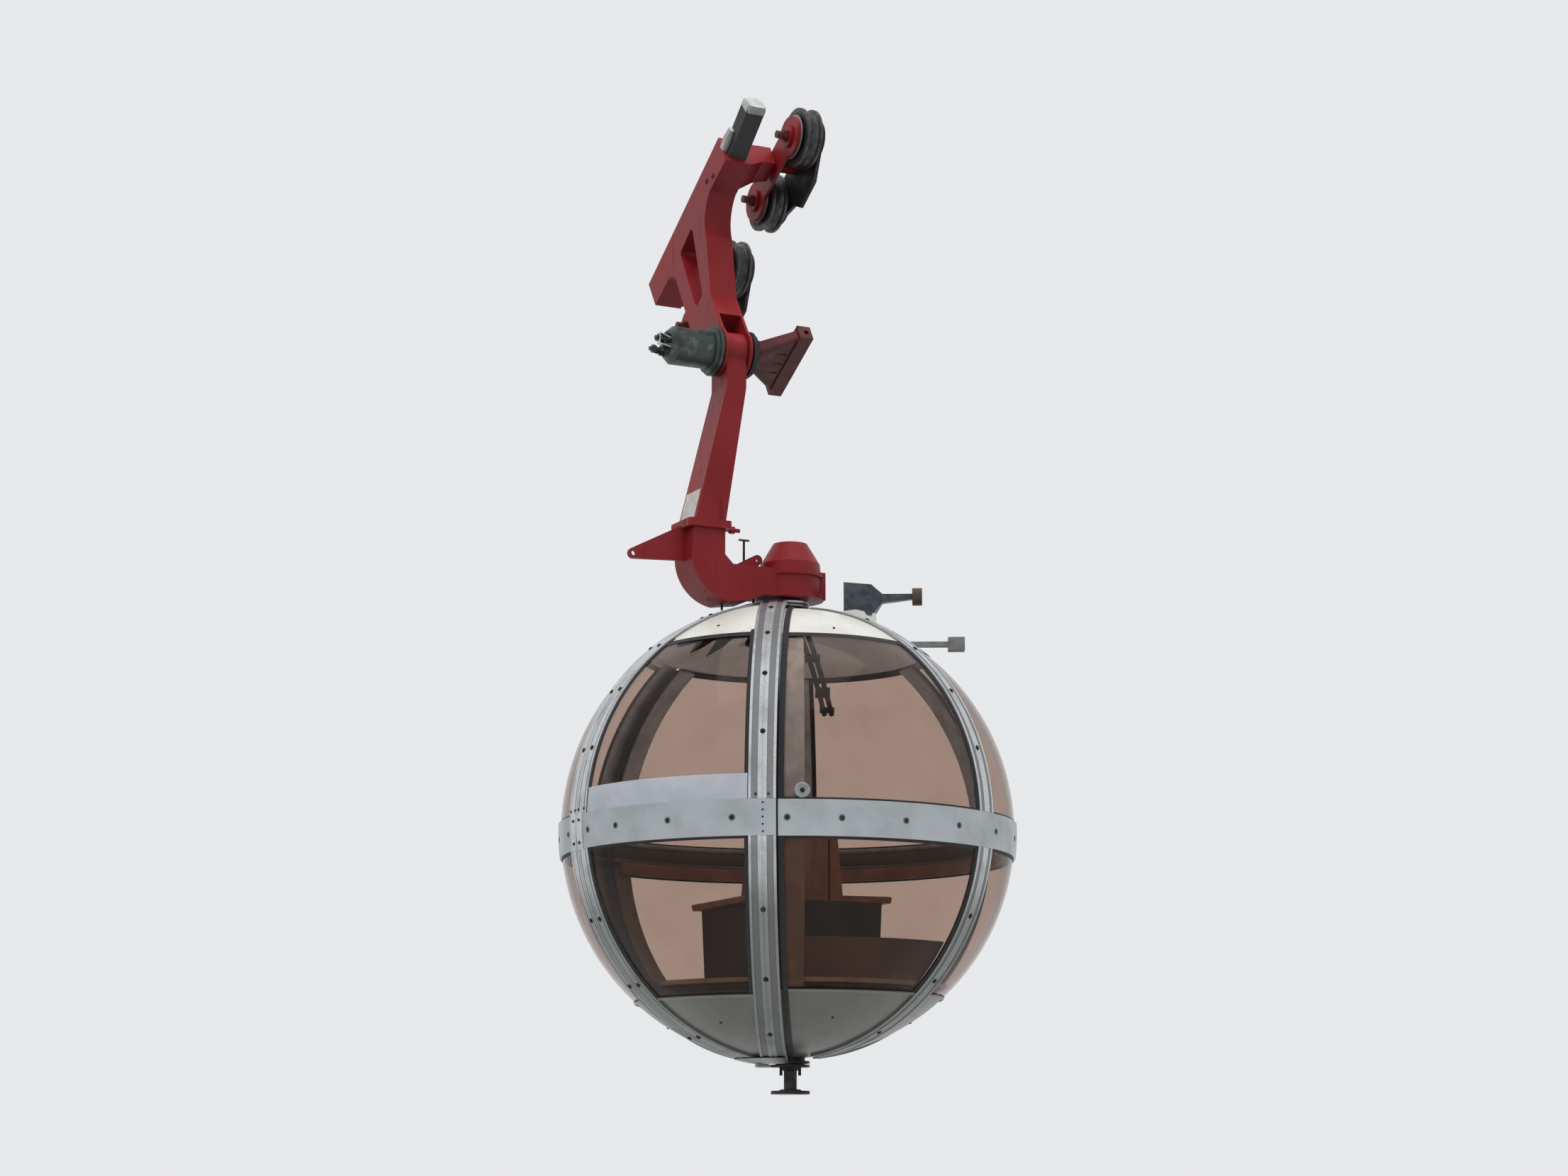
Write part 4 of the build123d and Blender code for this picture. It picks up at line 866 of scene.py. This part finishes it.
def window_rubber(name, body, radius, first, last, widths, rims):
    """Rubber lines round both windows of one bay: up its two sides, under the roof's rim, over the
    pan's rim and along the band."""
    lines = []
    for i, (azimuth, width, hand) in enumerate(((first, widths[0], 1), (last, widths[1], -1))):
        across = sorted((hand * width, hand * (width + RUBBER)))
        lines += window_sides(f"line_{i}", flat_strip(*across, radius + SEAT, radius + RUBBER_T),
                              azimuth, "black_rubber", body)
    for low, high in rims:
        lines.append(lathe("rim_line", wall_profile(radius + SEAT, radius + RIM_T, low, high, 4), first,
                           last, "black_rubber", body, gaps=(widths[0], widths[1])))
    return join(name, lines)


EDGES = ((ROOF_RIM - 0.022, ROOF_RIM + 0.001), (BAND_HIGH + 0.0005, BAND_HIGH + 0.010),
         (BAND_LOW - 0.012, BAND_LOW - 0.0005), (-FLOOR_RIM - 0.001, -FLOOR_RIM + 0.006))
LEAF_EDGES = (*EDGES[:3], (-FLOOR_RIM - 0.025, -FLOOR_RIM - 0.018))
JAMB_SIDE = 0.012
for i, start in enumerate(BAYS):
    widths = (JAMB_SIDE if i == 0 else RIB_HALF, JAMB_SIDE if i == 3 else RIB_HALF)
    window_rubber(f"rubber_{i + 1}", "cabin", GLASS_R, start, start + 60, widths, EDGES)
for name, first, first_width, last_width, ring in LEAVES:
    window_rubber(f"rubber_{name}", f"door_{name}", LEAF_OUT, first, first + 60,
                  (HALF_GAP + first_width, HALF_GAP + last_width), LEAF_EDGES)
print("rubber round", len(BAYS) + len(LEAVES), "bays")

# %% [markdown]
# Bolts, nuts, rivets and pins are all turned heads: a section of radii and heights goes round an axis.
# Copies of one mesh could stand for them, but here one call makes a whole row of them, each facing its
# own way on the ball. A section with six sides makes hexagon heads.


# %% Turned heads
def turned(name, spots, facing, profile, look, body, sides=12):
    """Heads that stand on `spots` and point along `facing`. Point (j, k) of a head is
    spot + radius_j (cos t_k u + sin t_k v) + height_j w, with w along `facing` and u, v across it."""
    spots = np.atleast_2d(np.asarray(spots, float))
    w = np.broadcast_to(np.asarray(facing, float), spots.shape)
    w = w / np.linalg.norm(w, axis=-1, keepdims=True)
    u = np.cross(w, np.where(np.abs(w[:, 2:]) > 0.9, (1.0, 0.0, 0.0), (0.0, 0.0, 1.0)))
    u = u / np.linalg.norm(u, axis=-1, keepdims=True)
    turn = 2 * pi * np.arange(sides)[:, None] / sides
    ring = u[:, None] * np.cos(turn) + np.cross(w, u)[:, None] * np.sin(turn)
    radius, height = np.asarray(profile, float).T[:, :, None, None]
    points = spots[:, None, None] + radius * ring[:, None] + height * w[:, None, None]
    rows, along = np.arange(len(profile) - 1)[:, None] * sides, np.arange(sides)
    on = (along + 1) % sides
    quads = np.stack([rows + along, rows + on, rows + sides + on, rows + sides + along], axis=-1)
    ends = np.stack([along[::-1], (len(profile) - 1) * sides + along])
    first = np.arange(len(spots))[:, None, None] * len(profile) * sides
    faces = (first[..., None] + quads).reshape(-1, 4).tolist()
    faces += (first + ends).reshape(-1, sides).tolist()
    return build(name, points.reshape(-1, 3).tolist(), faces, look, body)


def bolt(radius, height, washer=0.0):
    """A bolt head's section, on a washer if the washer has a radius."""
    foot = [(washer, 0.0), (washer, 0.002), (radius, 0.002)] if washer else [(radius, 0.0)]
    return foot + [(radius, height * 0.8), (radius * 0.8, height)]

# %% [markdown]
# Bars and blocks are a section carried along a path. A curve with a bevel could do it too, but its ends
# stay open and its corners can't be set. `rod` gives any section, and can shrink it along the way.


# %% Rods and their sections
def rod(name, path, section, side, look, body, scale=None):
    """A section of (sideways, upwards) points carried along a path. Sideways is `side` made square to
    the path, upwards is square to both, and `scale` can shrink the section along the way."""
    path = np.asarray(path, float)
    ahead = np.gradient(path, axis=0)
    ahead /= np.linalg.norm(ahead, axis=-1, keepdims=True)
    across = np.asarray(side, float) - (ahead @ np.asarray(side, float))[:, None] * ahead
    across /= np.linalg.norm(across, axis=-1, keepdims=True)
    above = np.cross(ahead, across)
    section = np.asarray(section, float)[None] * (np.ones(len(path)) if scale is None
                                                  else np.asarray(scale, float))[:, None, None]
    loops = path[:, None] + across[:, None] * section[..., :1] + above[:, None] * section[..., 1:]
    return sweep(name, loops, look, body)


def circle(radius, sides=14):
    """A round section."""
    turn = 2 * pi * np.arange(sides) / sides
    return np.stack([radius * np.cos(turn), radius * np.sin(turn)], axis=-1)


def oblong(width, height, bevel=0.0015):
    """A rectangle with bevelled corners."""
    x, y, b = width / 2, height / 2, bevel
    return [(x, b - y), (x, y - b), (x - b, y), (b - x, y),
            (-x, y - b), (-x, b - y), (b - x, -y), (x - b, -y)]


# %% [markdown]
# A bolt sits square on a curved shell only if it knows the ball's normal there. These two functions give
# places on a strip or on the band, each with its normal, so no bolt has to be turned by hand.


# %% Places on strips and bands
def on_strip(azimuth, sideways, elevation, radius):
    """Points on a strip along a meridian, `sideways` metres beside its plane, and their normals."""
    lift = np.radians(np.atleast_1d(np.asarray(elevation, float)))[:, None]
    out = heading(float(azimuth)) * np.cos(lift) + UP * np.sin(lift)
    spot = heading(azimuth + 90.0) * sideways + out * sqrt(radius**2 - sideways**2)
    return CABIN + spot, spot / radius


def on_band(azimuths, level, radius):
    """Points on a band of a ball at a level above the cabin's centre, and their normals."""
    out = heading(np.atleast_1d(np.asarray(azimuths, float))) * sqrt(radius**2 - level**2) + UP * level
    return CABIN + out, out / radius


# %% [markdown]
# The bolts stand where the photo shows them: along the middle of every strip, and in a pair at the foot
# of each stile above the band. Heights are degrees above the cabin's centre. The bolts are real heads
# and not a bump in the finish, because their edges catch the light.

# %% Bolts of the strips
HEIGHTS, FOOT_HEIGHT = (-63.0, -43.0, -24.5, 17.5, 34.0, 49.5, 66.0), 2.3
STRIP_BOLT = bolt(0.0085, 0.006, 0.013)
for azimuth in RIBS_AT:
    turned(f"rib_bolts_{azimuth:.0f}", *on_strip(azimuth, 0.0, HEIGHTS, FIXED_OUT), STRIP_BOLT,
           "dark_steel", "cabin", sides=10)
for name, first, first_width, last_width, ring in LEAVES:
    body = f"door_{name}"
    for azimuth, sideways in ((first, HALF_GAP + first_width / 2),
                              (first + 60, -HALF_GAP - last_width / 2)):
        turned(f"stile_bolts_{name}_{azimuth:.0f}", *on_strip(azimuth, sideways, HEIGHTS, STILE_OUT),
               STRIP_BOLT, "dark_steel", body, sides=10)
        for hand in (-0.030, 0.030):
            turned(f"stile_foot_{name}",
                   *on_strip(azimuth, sideways + hand, (FOOT_HEIGHT,), STILE_OUT),
                   bolt(0.006, 0.004), "dark_steel", body, sides=10)
print("bolts", len(HEIGHTS), "on each strip")

# %% [markdown]
# The band's bolts are flat and sit in light rings, which shows well in the photo. Five rivets close each
# leaf's band at one end, and a small bolt holds each field of the roof and the pan. All of them are
# turned heads again, and only their sections differ.

# %% Bolts of the band and the caps
BAND_BOLTS = (("fixed", (-27.6, *np.arange(-14.6, 206, 16.4)), FIXED_OUT, "cabin"),
              ("front", (-84.0, -72.6, -56.6, -40.4), STILE_OUT, "door_front"),
              ("rear", (-139.6, -123.4, -107.4, -96.0), STILE_OUT, "door_rear"))
RING_RISE, FLAT_RISE = 0.0008, 0.0014
for name, azimuths, radius, body in BAND_BOLTS:
    spots, out = on_band(azimuths, BAND_MID, radius)
    turned(f"band_rings_{name}", spots, out, [(0.0165, 0.0), (0.016, RING_RISE), (0.012, RING_RISE)],
           "buffer_cap", body, sides=20)
    turned(f"band_bolts_{name}", spots + out * RING_RISE, out,
           [(0.0105, 0.0), (0.0095, FLAT_RISE), (0.004, FLAT_RISE)], "dark_steel", body, sides=14)
    print("band bolts", name, len(spots))
RIVET_LEVELS = np.linspace(BAND_LOW + 0.018, BAND_HIGH - 0.018, 5)
for name, azimuth in (("front", -33.2), ("rear", -146.8)):
    spots = np.concatenate([on_band(azimuth, level, STILE_OUT)[0] for level in RIVET_LEVELS])
    turned(f"rivets_{name}", spots, spots - CABIN, bolt(0.0048, 0.003), "dark_steel",
           f"door_{name}", 10)
for name, azimuths, radius, body in (("fixed", (-7.0, 60.0, 120.0, 180.0), GLASS_R, "cabin"),
                                     ("front", (-60.0,), LEAF_OUT, "door_front"),
                                     ("rear", (-120.0,), LEAF_OUT, "door_rear")):
    for elevation in (56.0, -58.0):
        spots = np.concatenate([on_strip(azimuth, 0.0, (elevation,), radius)[0]
                                for azimuth in azimuths])
        turned(f"cap_bolts_{name}", spots, spots - CABIN, bolt(0.007, 0.004), "dark_steel", body,
               sides=10)

# %% [markdown]
# A raised lip runs along the pan's rim and sheds the rain. Where the leaves meet, a bracket plate with
# two bolts clasps the end of each leaf's band. Both follow the ball, so they are made like the walls and
# the strips.

# %% Lips and brackets
def rim_bead(radius, level):
    """The lip's section, as (reach, level) points round the place where a level meets a ball."""
    reach = sqrt(radius**2 - level**2)
    return [(reach - 0.002, level - 0.010), (reach + 0.0075, level - 0.006),
            (reach + 0.0085, level + 0.002), (reach + 0.004, level + 0.005),
            (reach - 0.002, level + 0.003)]


BRACKET_W, BRACKET_RISE, BRACKET_LAP = 0.062, 0.004, 0.004
lathe("pan_lip", rim_bead(GLASS_R, -FLOOR_RIM), -EDGE, 180 + EDGE, "cap_white", "cabin", steps=120,
      gaps=(JAMB_SEAL, JAMB_SEAL))
for name, first, first_width, last_width, ring in LEAVES:
    body = f"door_{name}"
    lathe(f"leaf_lip_{name}", rim_bead(LEAF_OUT, -FLOOR_RIM - 0.024), first, first + 60, "cap_white",
          body, gaps=(HALF_GAP + first_width, HALF_GAP + last_width))
    edge, hand = (first, 1) if first_width == MEETING else (first + 60, -1)
    sides = sorted((hand * HALF_GAP, hand * (HALF_GAP + BRACKET_W)))
    low, high = (degrees(asin(level / STILE_OUT))
                 for level in (BAND_LOW - BRACKET_LAP, BAND_HIGH + BRACKET_LAP))
    strap(f"bracket_{name}", flat_strip(*sides, STILE_OUT - 0.001, STILE_OUT + BRACKET_RISE), edge,
          low, high, "leaf_aluminium", body, steps=10)
    turned(f"bracket_bolt_{name}",
           *on_strip(edge, sum(sides) / 2, (low + 1.7, high - 1.7), STILE_OUT + BRACKET_RISE),
           bolt(0.0075, 0.005), "dark_steel", body)
    print("bracket", name, "from", round(low, 2), "to", round(high, 2), "degrees")

# %% [markdown]
# Inside, a grey lining covers the roof. Two bowed grab bars hang from its edge and run down towards the
# middle, where they end in a handle. A point of the bow at a share s of the way is
# (1 - s)^2 root + 2 s (1 - s) belly + s^2 handle, which bends as evenly as a bent tube.

# %% Ceiling and grab bars
BOW_STEPS, BAR_APART = 24, 0.018
lathe("ceiling", dome_profile(INNER_R - 0.004, INNER_R - 0.0005, ROOF_RIM + 0.004, 0.06, 1), 0, 360,
      "ceiling", "cabin", steps=120)
share = np.linspace(0, 1, BOW_STEPS)[:, None]
side = np.array([cos(radians(24.3)), -sin(radians(24.3)), 0.0])
bow_root = heading(-21.0) * 0.60 + UP * 0.905
bow_belly = heading(-10.0) * 0.42 + UP * 0.80
bow_handle = heading(-27.0) * 0.15 + side * 0.19 + UP * 0.57
bow = CABIN + ((1 - share)**2 * bow_root + 2 * share * (1 - share) * bow_belly
               + share**2 * bow_handle)
for hand in (-1, 1):
    rod(f"grab_bar_{hand}", bow + side * hand * BAR_APART, circle(0.0125), (0, 1, 0), "black_rubber",
        "cabin")
for at, size in ((0.40, 0.045), (0.80, 0.060), (0.97, 0.034)):
    spot = bow[int(at * (BOW_STEPS - 1))]
    rod(f"grab_tie_{at}", [spot - side * 2 * BAR_APART, spot + side * 2 * BAR_APART],
        oblong(size, size * 0.8, 0.006), (0, 1, 0), "dark_steel", "cabin")
print("grab bars", round(float(np.linalg.norm(np.diff(bow, axis=0), axis=1).sum()), 3), "m long")

# %% [markdown]
# Behind the front leaf, two pointed prongs, a block and a short bar show under the roof's rim. What they
# are for can't be told from the photo, so they are plain tapered rods in the places where it shows them.

# %% Prongs, block and bar under the roof's rim
PRONG_ROOT_R, PRONG_TIP_R, BLOCK_R = 1.113, 1.098, 1.105
for i, (azimuth, elevation) in enumerate(((-68.0, 47.6), (-58.2, 44.8))):
    (root,), _ = on_strip(azimuth + 5.0, 0.0, (53.4,), PRONG_ROOT_R)
    (tip,), _ = on_strip(azimuth, 0.0, (elevation,), PRONG_TIP_R)
    rod(f"prong_{i}", [root, root * 0.55 + tip * 0.45, tip], oblong(0.048, 0.030), (0, 0, 1),
        "black_rubber", "cabin", scale=(1.0, 0.80, 0.12))
(block_top, block_foot), _ = on_strip(-42.5, 0.0, (52.8, 49.0), BLOCK_R)
rod("rim_block", [block_top, block_foot], oblong(0.050, 0.026, 0.004), (0, 0, 1) + heading(47.5),
    "dark_steel", "cabin")
lathe("rim_bar", [(0.640, ROOF_RIM - 0.012), (0.662, ROOF_RIM - 0.018), (0.662, ROOF_RIM + 0.004),
                  (0.640, ROOF_RIM + 0.004)], -84, -34, "black_rubber", "cabin", steps=30)
print("last prong ends", round((tip - CABIN)[2], 3), "m above the cabin's centre")

# %% [markdown]
# Small parts finish the roof: a pale plinth under the lever's hood, two thin rods between roof and beam,
# and the long nut of the arm's joint. The plinth's foot follows the roof and its top is flatter, so it is
# a sweep through three sections.

# %% Roof details
LEVER_OUT, LEVER_SIDE = heading(60.0), heading(150.0)
ROD_TOP = 1.179
plinth = np.array([(0.240, 1.070, 0.082), (0.330, 1.052, 0.086), (0.440, 1.015, 0.070)])
tops = np.array([(0.252, 1.106), (0.335, 1.116), (0.436, 1.096)])
low_edge = CABIN + LEVER_OUT * plinth[:, :1] + UP * plinth[:, 1:2]
high_edge = CABIN + LEVER_OUT * tops[:, :1] + UP * tops[:, 1:]
half = LEVER_SIDE * plinth[:, 2:]
sweep("lever_plinth", np.stack([low_edge - half, low_edge + half, high_edge + half * 0.9,
                                high_edge - half * 0.9], axis=1), "cap_white", "cabin")
for x, foot in ((-0.385, 1.097), (-0.208, 1.131)):
    turned(f"roof_rod_{x}", CABIN + (x, 0.0, foot), UP, [(0.006, 0.0), (0.006, ROD_TOP - foot)],
           "dark_steel", "cabin", sides=10)
turned("joint_nut", CABIN + (-0.417, -0.060, 1.499), (1, 0, 0),
       [(0.011, 0.0), (0.011, 0.045), (0.020, 0.045), (0.020, 0.070), (0.011, 0.070),
        (0.011, 0.100)], "red_paint", "cabin", sides=6)
print("plinth", len(plinth), "sections")

# %% [markdown]
# A pale roller with a bolt sits beside the door, just above the band. It is turned about the ball's
# normal there, so that it lies flat on the shell.

# %% Roller beside the door
ROLLER_LIFT, ROLLER_RISE = 0.042, 0.0053
roller_at = degrees(asin((BAND_HIGH + ROLLER_LIFT) / GLASS_R))
(spot,), (out,) = on_strip(-EDGE + 6.0, 0.0, (roller_at,), GLASS_R + ROLLER_RISE)
roller = turned("roller", spot, out, [(0.037, -0.005), (0.037, 0.002), (0.034, 0.004),
                                      (0.026, 0.004), (0.022, 0.0015)], "cap_pale", "cabin",
                sides=32)
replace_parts(roller, "edge_roller")
turned("roller_bolt", spot, out, bolt(0.009, 0.008, 0.013), "dark_steel", "cabin", sides=6)
print("roller at", round(roller_at, 2), "degrees")

# %% [markdown]
# The carriage slopes by 30 degrees, from truck to truck. Its details could be placed level and turned
# afterwards, but a finished piece has to lie unturned. `at` turns a place along the slope and square to
# it into a point, so that caps and bolts follow the slope and their numbers stay plain.


# %% Buffer and bolts of the carriage
def at(x, along, above, slope=radians(30)):
    """The point `along` the slope and `above` it, in the upright plane at `x`."""
    return np.array([x, along * cos(slope) + above * sin(slope), above * cos(slope) - along * sin(slope)])


FRAME_LOW, FRAME_HIGH = (np.array(corner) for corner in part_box("carriage_frame"))
FRAME_X = (FRAME_LOW[0] + FRAME_HIGH[0]) / 2
PAD_X = FRAME_X - 0.060
rod("buffer_end", [at(FRAME_X, -0.846, 0.1455), at(FRAME_X, -0.868, 0.1492),
                   at(FRAME_X, -0.886, 0.1522)],
    oblong(0.108, 0.102, 0.014), (1, 0, 0), "cap_pale", "carriage", scale=(1, 1, 0.86))
rod("buffer_pad", [at(PAD_X, -0.580, 0.122), at(PAD_X, -0.640, 0.134), at(PAD_X, -0.700, 0.142)],
    oblong(0.034, 0.060, 0.010), (1, 0, 0), "cap_pale", "carriage", scale=(0.9, 1, 0.7))
# These bolts get the darker red, which is painted shade.
turned("frame_bolts", [at(FRAME_LOW[0], -0.369, 0.104), at(FRAME_LOW[0], -0.437, 0.070)], (-1, 0, 0),
       bolt(0.011, 0.007, 0.016), "clamp_red", "carriage", sides=6)
print("frame from", FRAME_LOW.round(3), "to", FRAME_HIGH.round(3))

# %% [markdown]
# Behind each sheave's cheek a thin ring shows as a light line. It is a turned section, and belongs to
# the truck and not to the sheave, because it doesn't spin. The grip's cylinder has a bracket and four
# nuts on its end face, sunk a few millimetres into it so that they don't float.

# %% Rings of the sheaves and end of the grip
CHEEK_R, LINER_X = 0.106, -0.0605
for number in range(1, 5):
    low, high = (np.array(corner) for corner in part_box(f"sheave_{number}"))
    middle = (low + high) / 2
    truck = "truck_upper" if number < 3 else "truck_lower"
    rim = CHEEK_R + 0.009
    turned(f"cheek_liner_{number}", middle + (LINER_X, 0, 0), (1, 0, 0),
           [(CHEEK_R + 0.006, 0.0), (rim, 0.001), (rim, 0.004), (CHEEK_R + 0.006, 0.005)],
           "buffer_cap", truck, sides=56)
grip_low, grip_high = (np.array(corner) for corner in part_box("grip_cylinder"))
hinge = (grip_low + grip_high) / 2
FACE_X, SHELF_Y = grip_low[0] + 0.004, hinge[1] - 0.045
rod("grip_bracket", [(FACE_X, SHELF_Y, hinge[2] + 0.020),
                     (grip_low[0] - 0.060, SHELF_Y, hinge[2] + 0.042),
                     (grip_low[0] - 0.062, SHELF_Y, hinge[2] - 0.012),
                     (FACE_X, SHELF_Y, hinge[2] - 0.028)], oblong(0.034, 0.005),
    (0, 1, 0), "leaf_aluminium", "carriage")
NUT = 0.034
turned("grip_nuts", [(FACE_X, hinge[1] + y, hinge[2] + z)
                     for y, z in ((-NUT, NUT), (NUT, NUT), (-NUT, -NUT), (NUT, -NUT))],
       (-1, 0, 0), [(0.019, 0.0), (0.019, 0.026), (0.011, 0.026), (0.011, 0.048)], "dark_steel",
       "carriage", sides=6)
print("grip's end face at x", round(grip_low[0], 3))

# %% [markdown]
# The plate on the arm is bare. It leans with the arm's face and is as wide as that face, so it is a thin
# section carried along a leaning line. The foot under the pan ends in a flange with two pins.

# %% Bare plate and foot
PLATE_W, PLATE_T = 0.166, 0.003
PIN_SIDE, PIN_DROP = 0.046, 1.205
plate_low, plate_high = (np.array(corner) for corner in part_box("number_plate"))
lean = (plate_high[0] - plate_low[0] - PLATE_T) / (plate_high[2] - plate_low[2])
plate = rod("bare_plate", [(plate_low[0] + PLATE_T / 2 + lean * rise,
                            (plate_low[1] + plate_high[1]) / 2, plate_low[2] + rise)
                           for rise in (-0.010, 0.146)],
            oblong(PLATE_W, PLATE_T, 0.0008), (0, 1, 0), "plate_white", "cabin")
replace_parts(plate, "number_plate")
foot_rim = CABIN * (1, 1, 0) + UP * (foot_low[2] + 0.003)
turned("foot_flange", foot_rim, UP, [(0.050, 0.0), (0.055, 0.003), (0.055, 0.017), (0.044, 0.021)],
       "dark_steel", "cabin", sides=32)
turned("foot_pins", [CABIN + side * hand * PIN_SIDE - UP * PIN_DROP for hand in (-1, 1)], UP,
       [(0.008, 0.0), (0.008, 0.045), (0.005, 0.045), (0.005, 0.060)], "dark_steel", "cabin", sides=8)
print("plate leans", round(degrees(atan(lean)), 1), "degrees")

# %% [markdown]
# The work ends with the view transform. Standard keeps the colours as they were written, where a film-like
# view would change them.

# %% View transform
bpy.context.scene.view_settings.view_transform = "Standard"
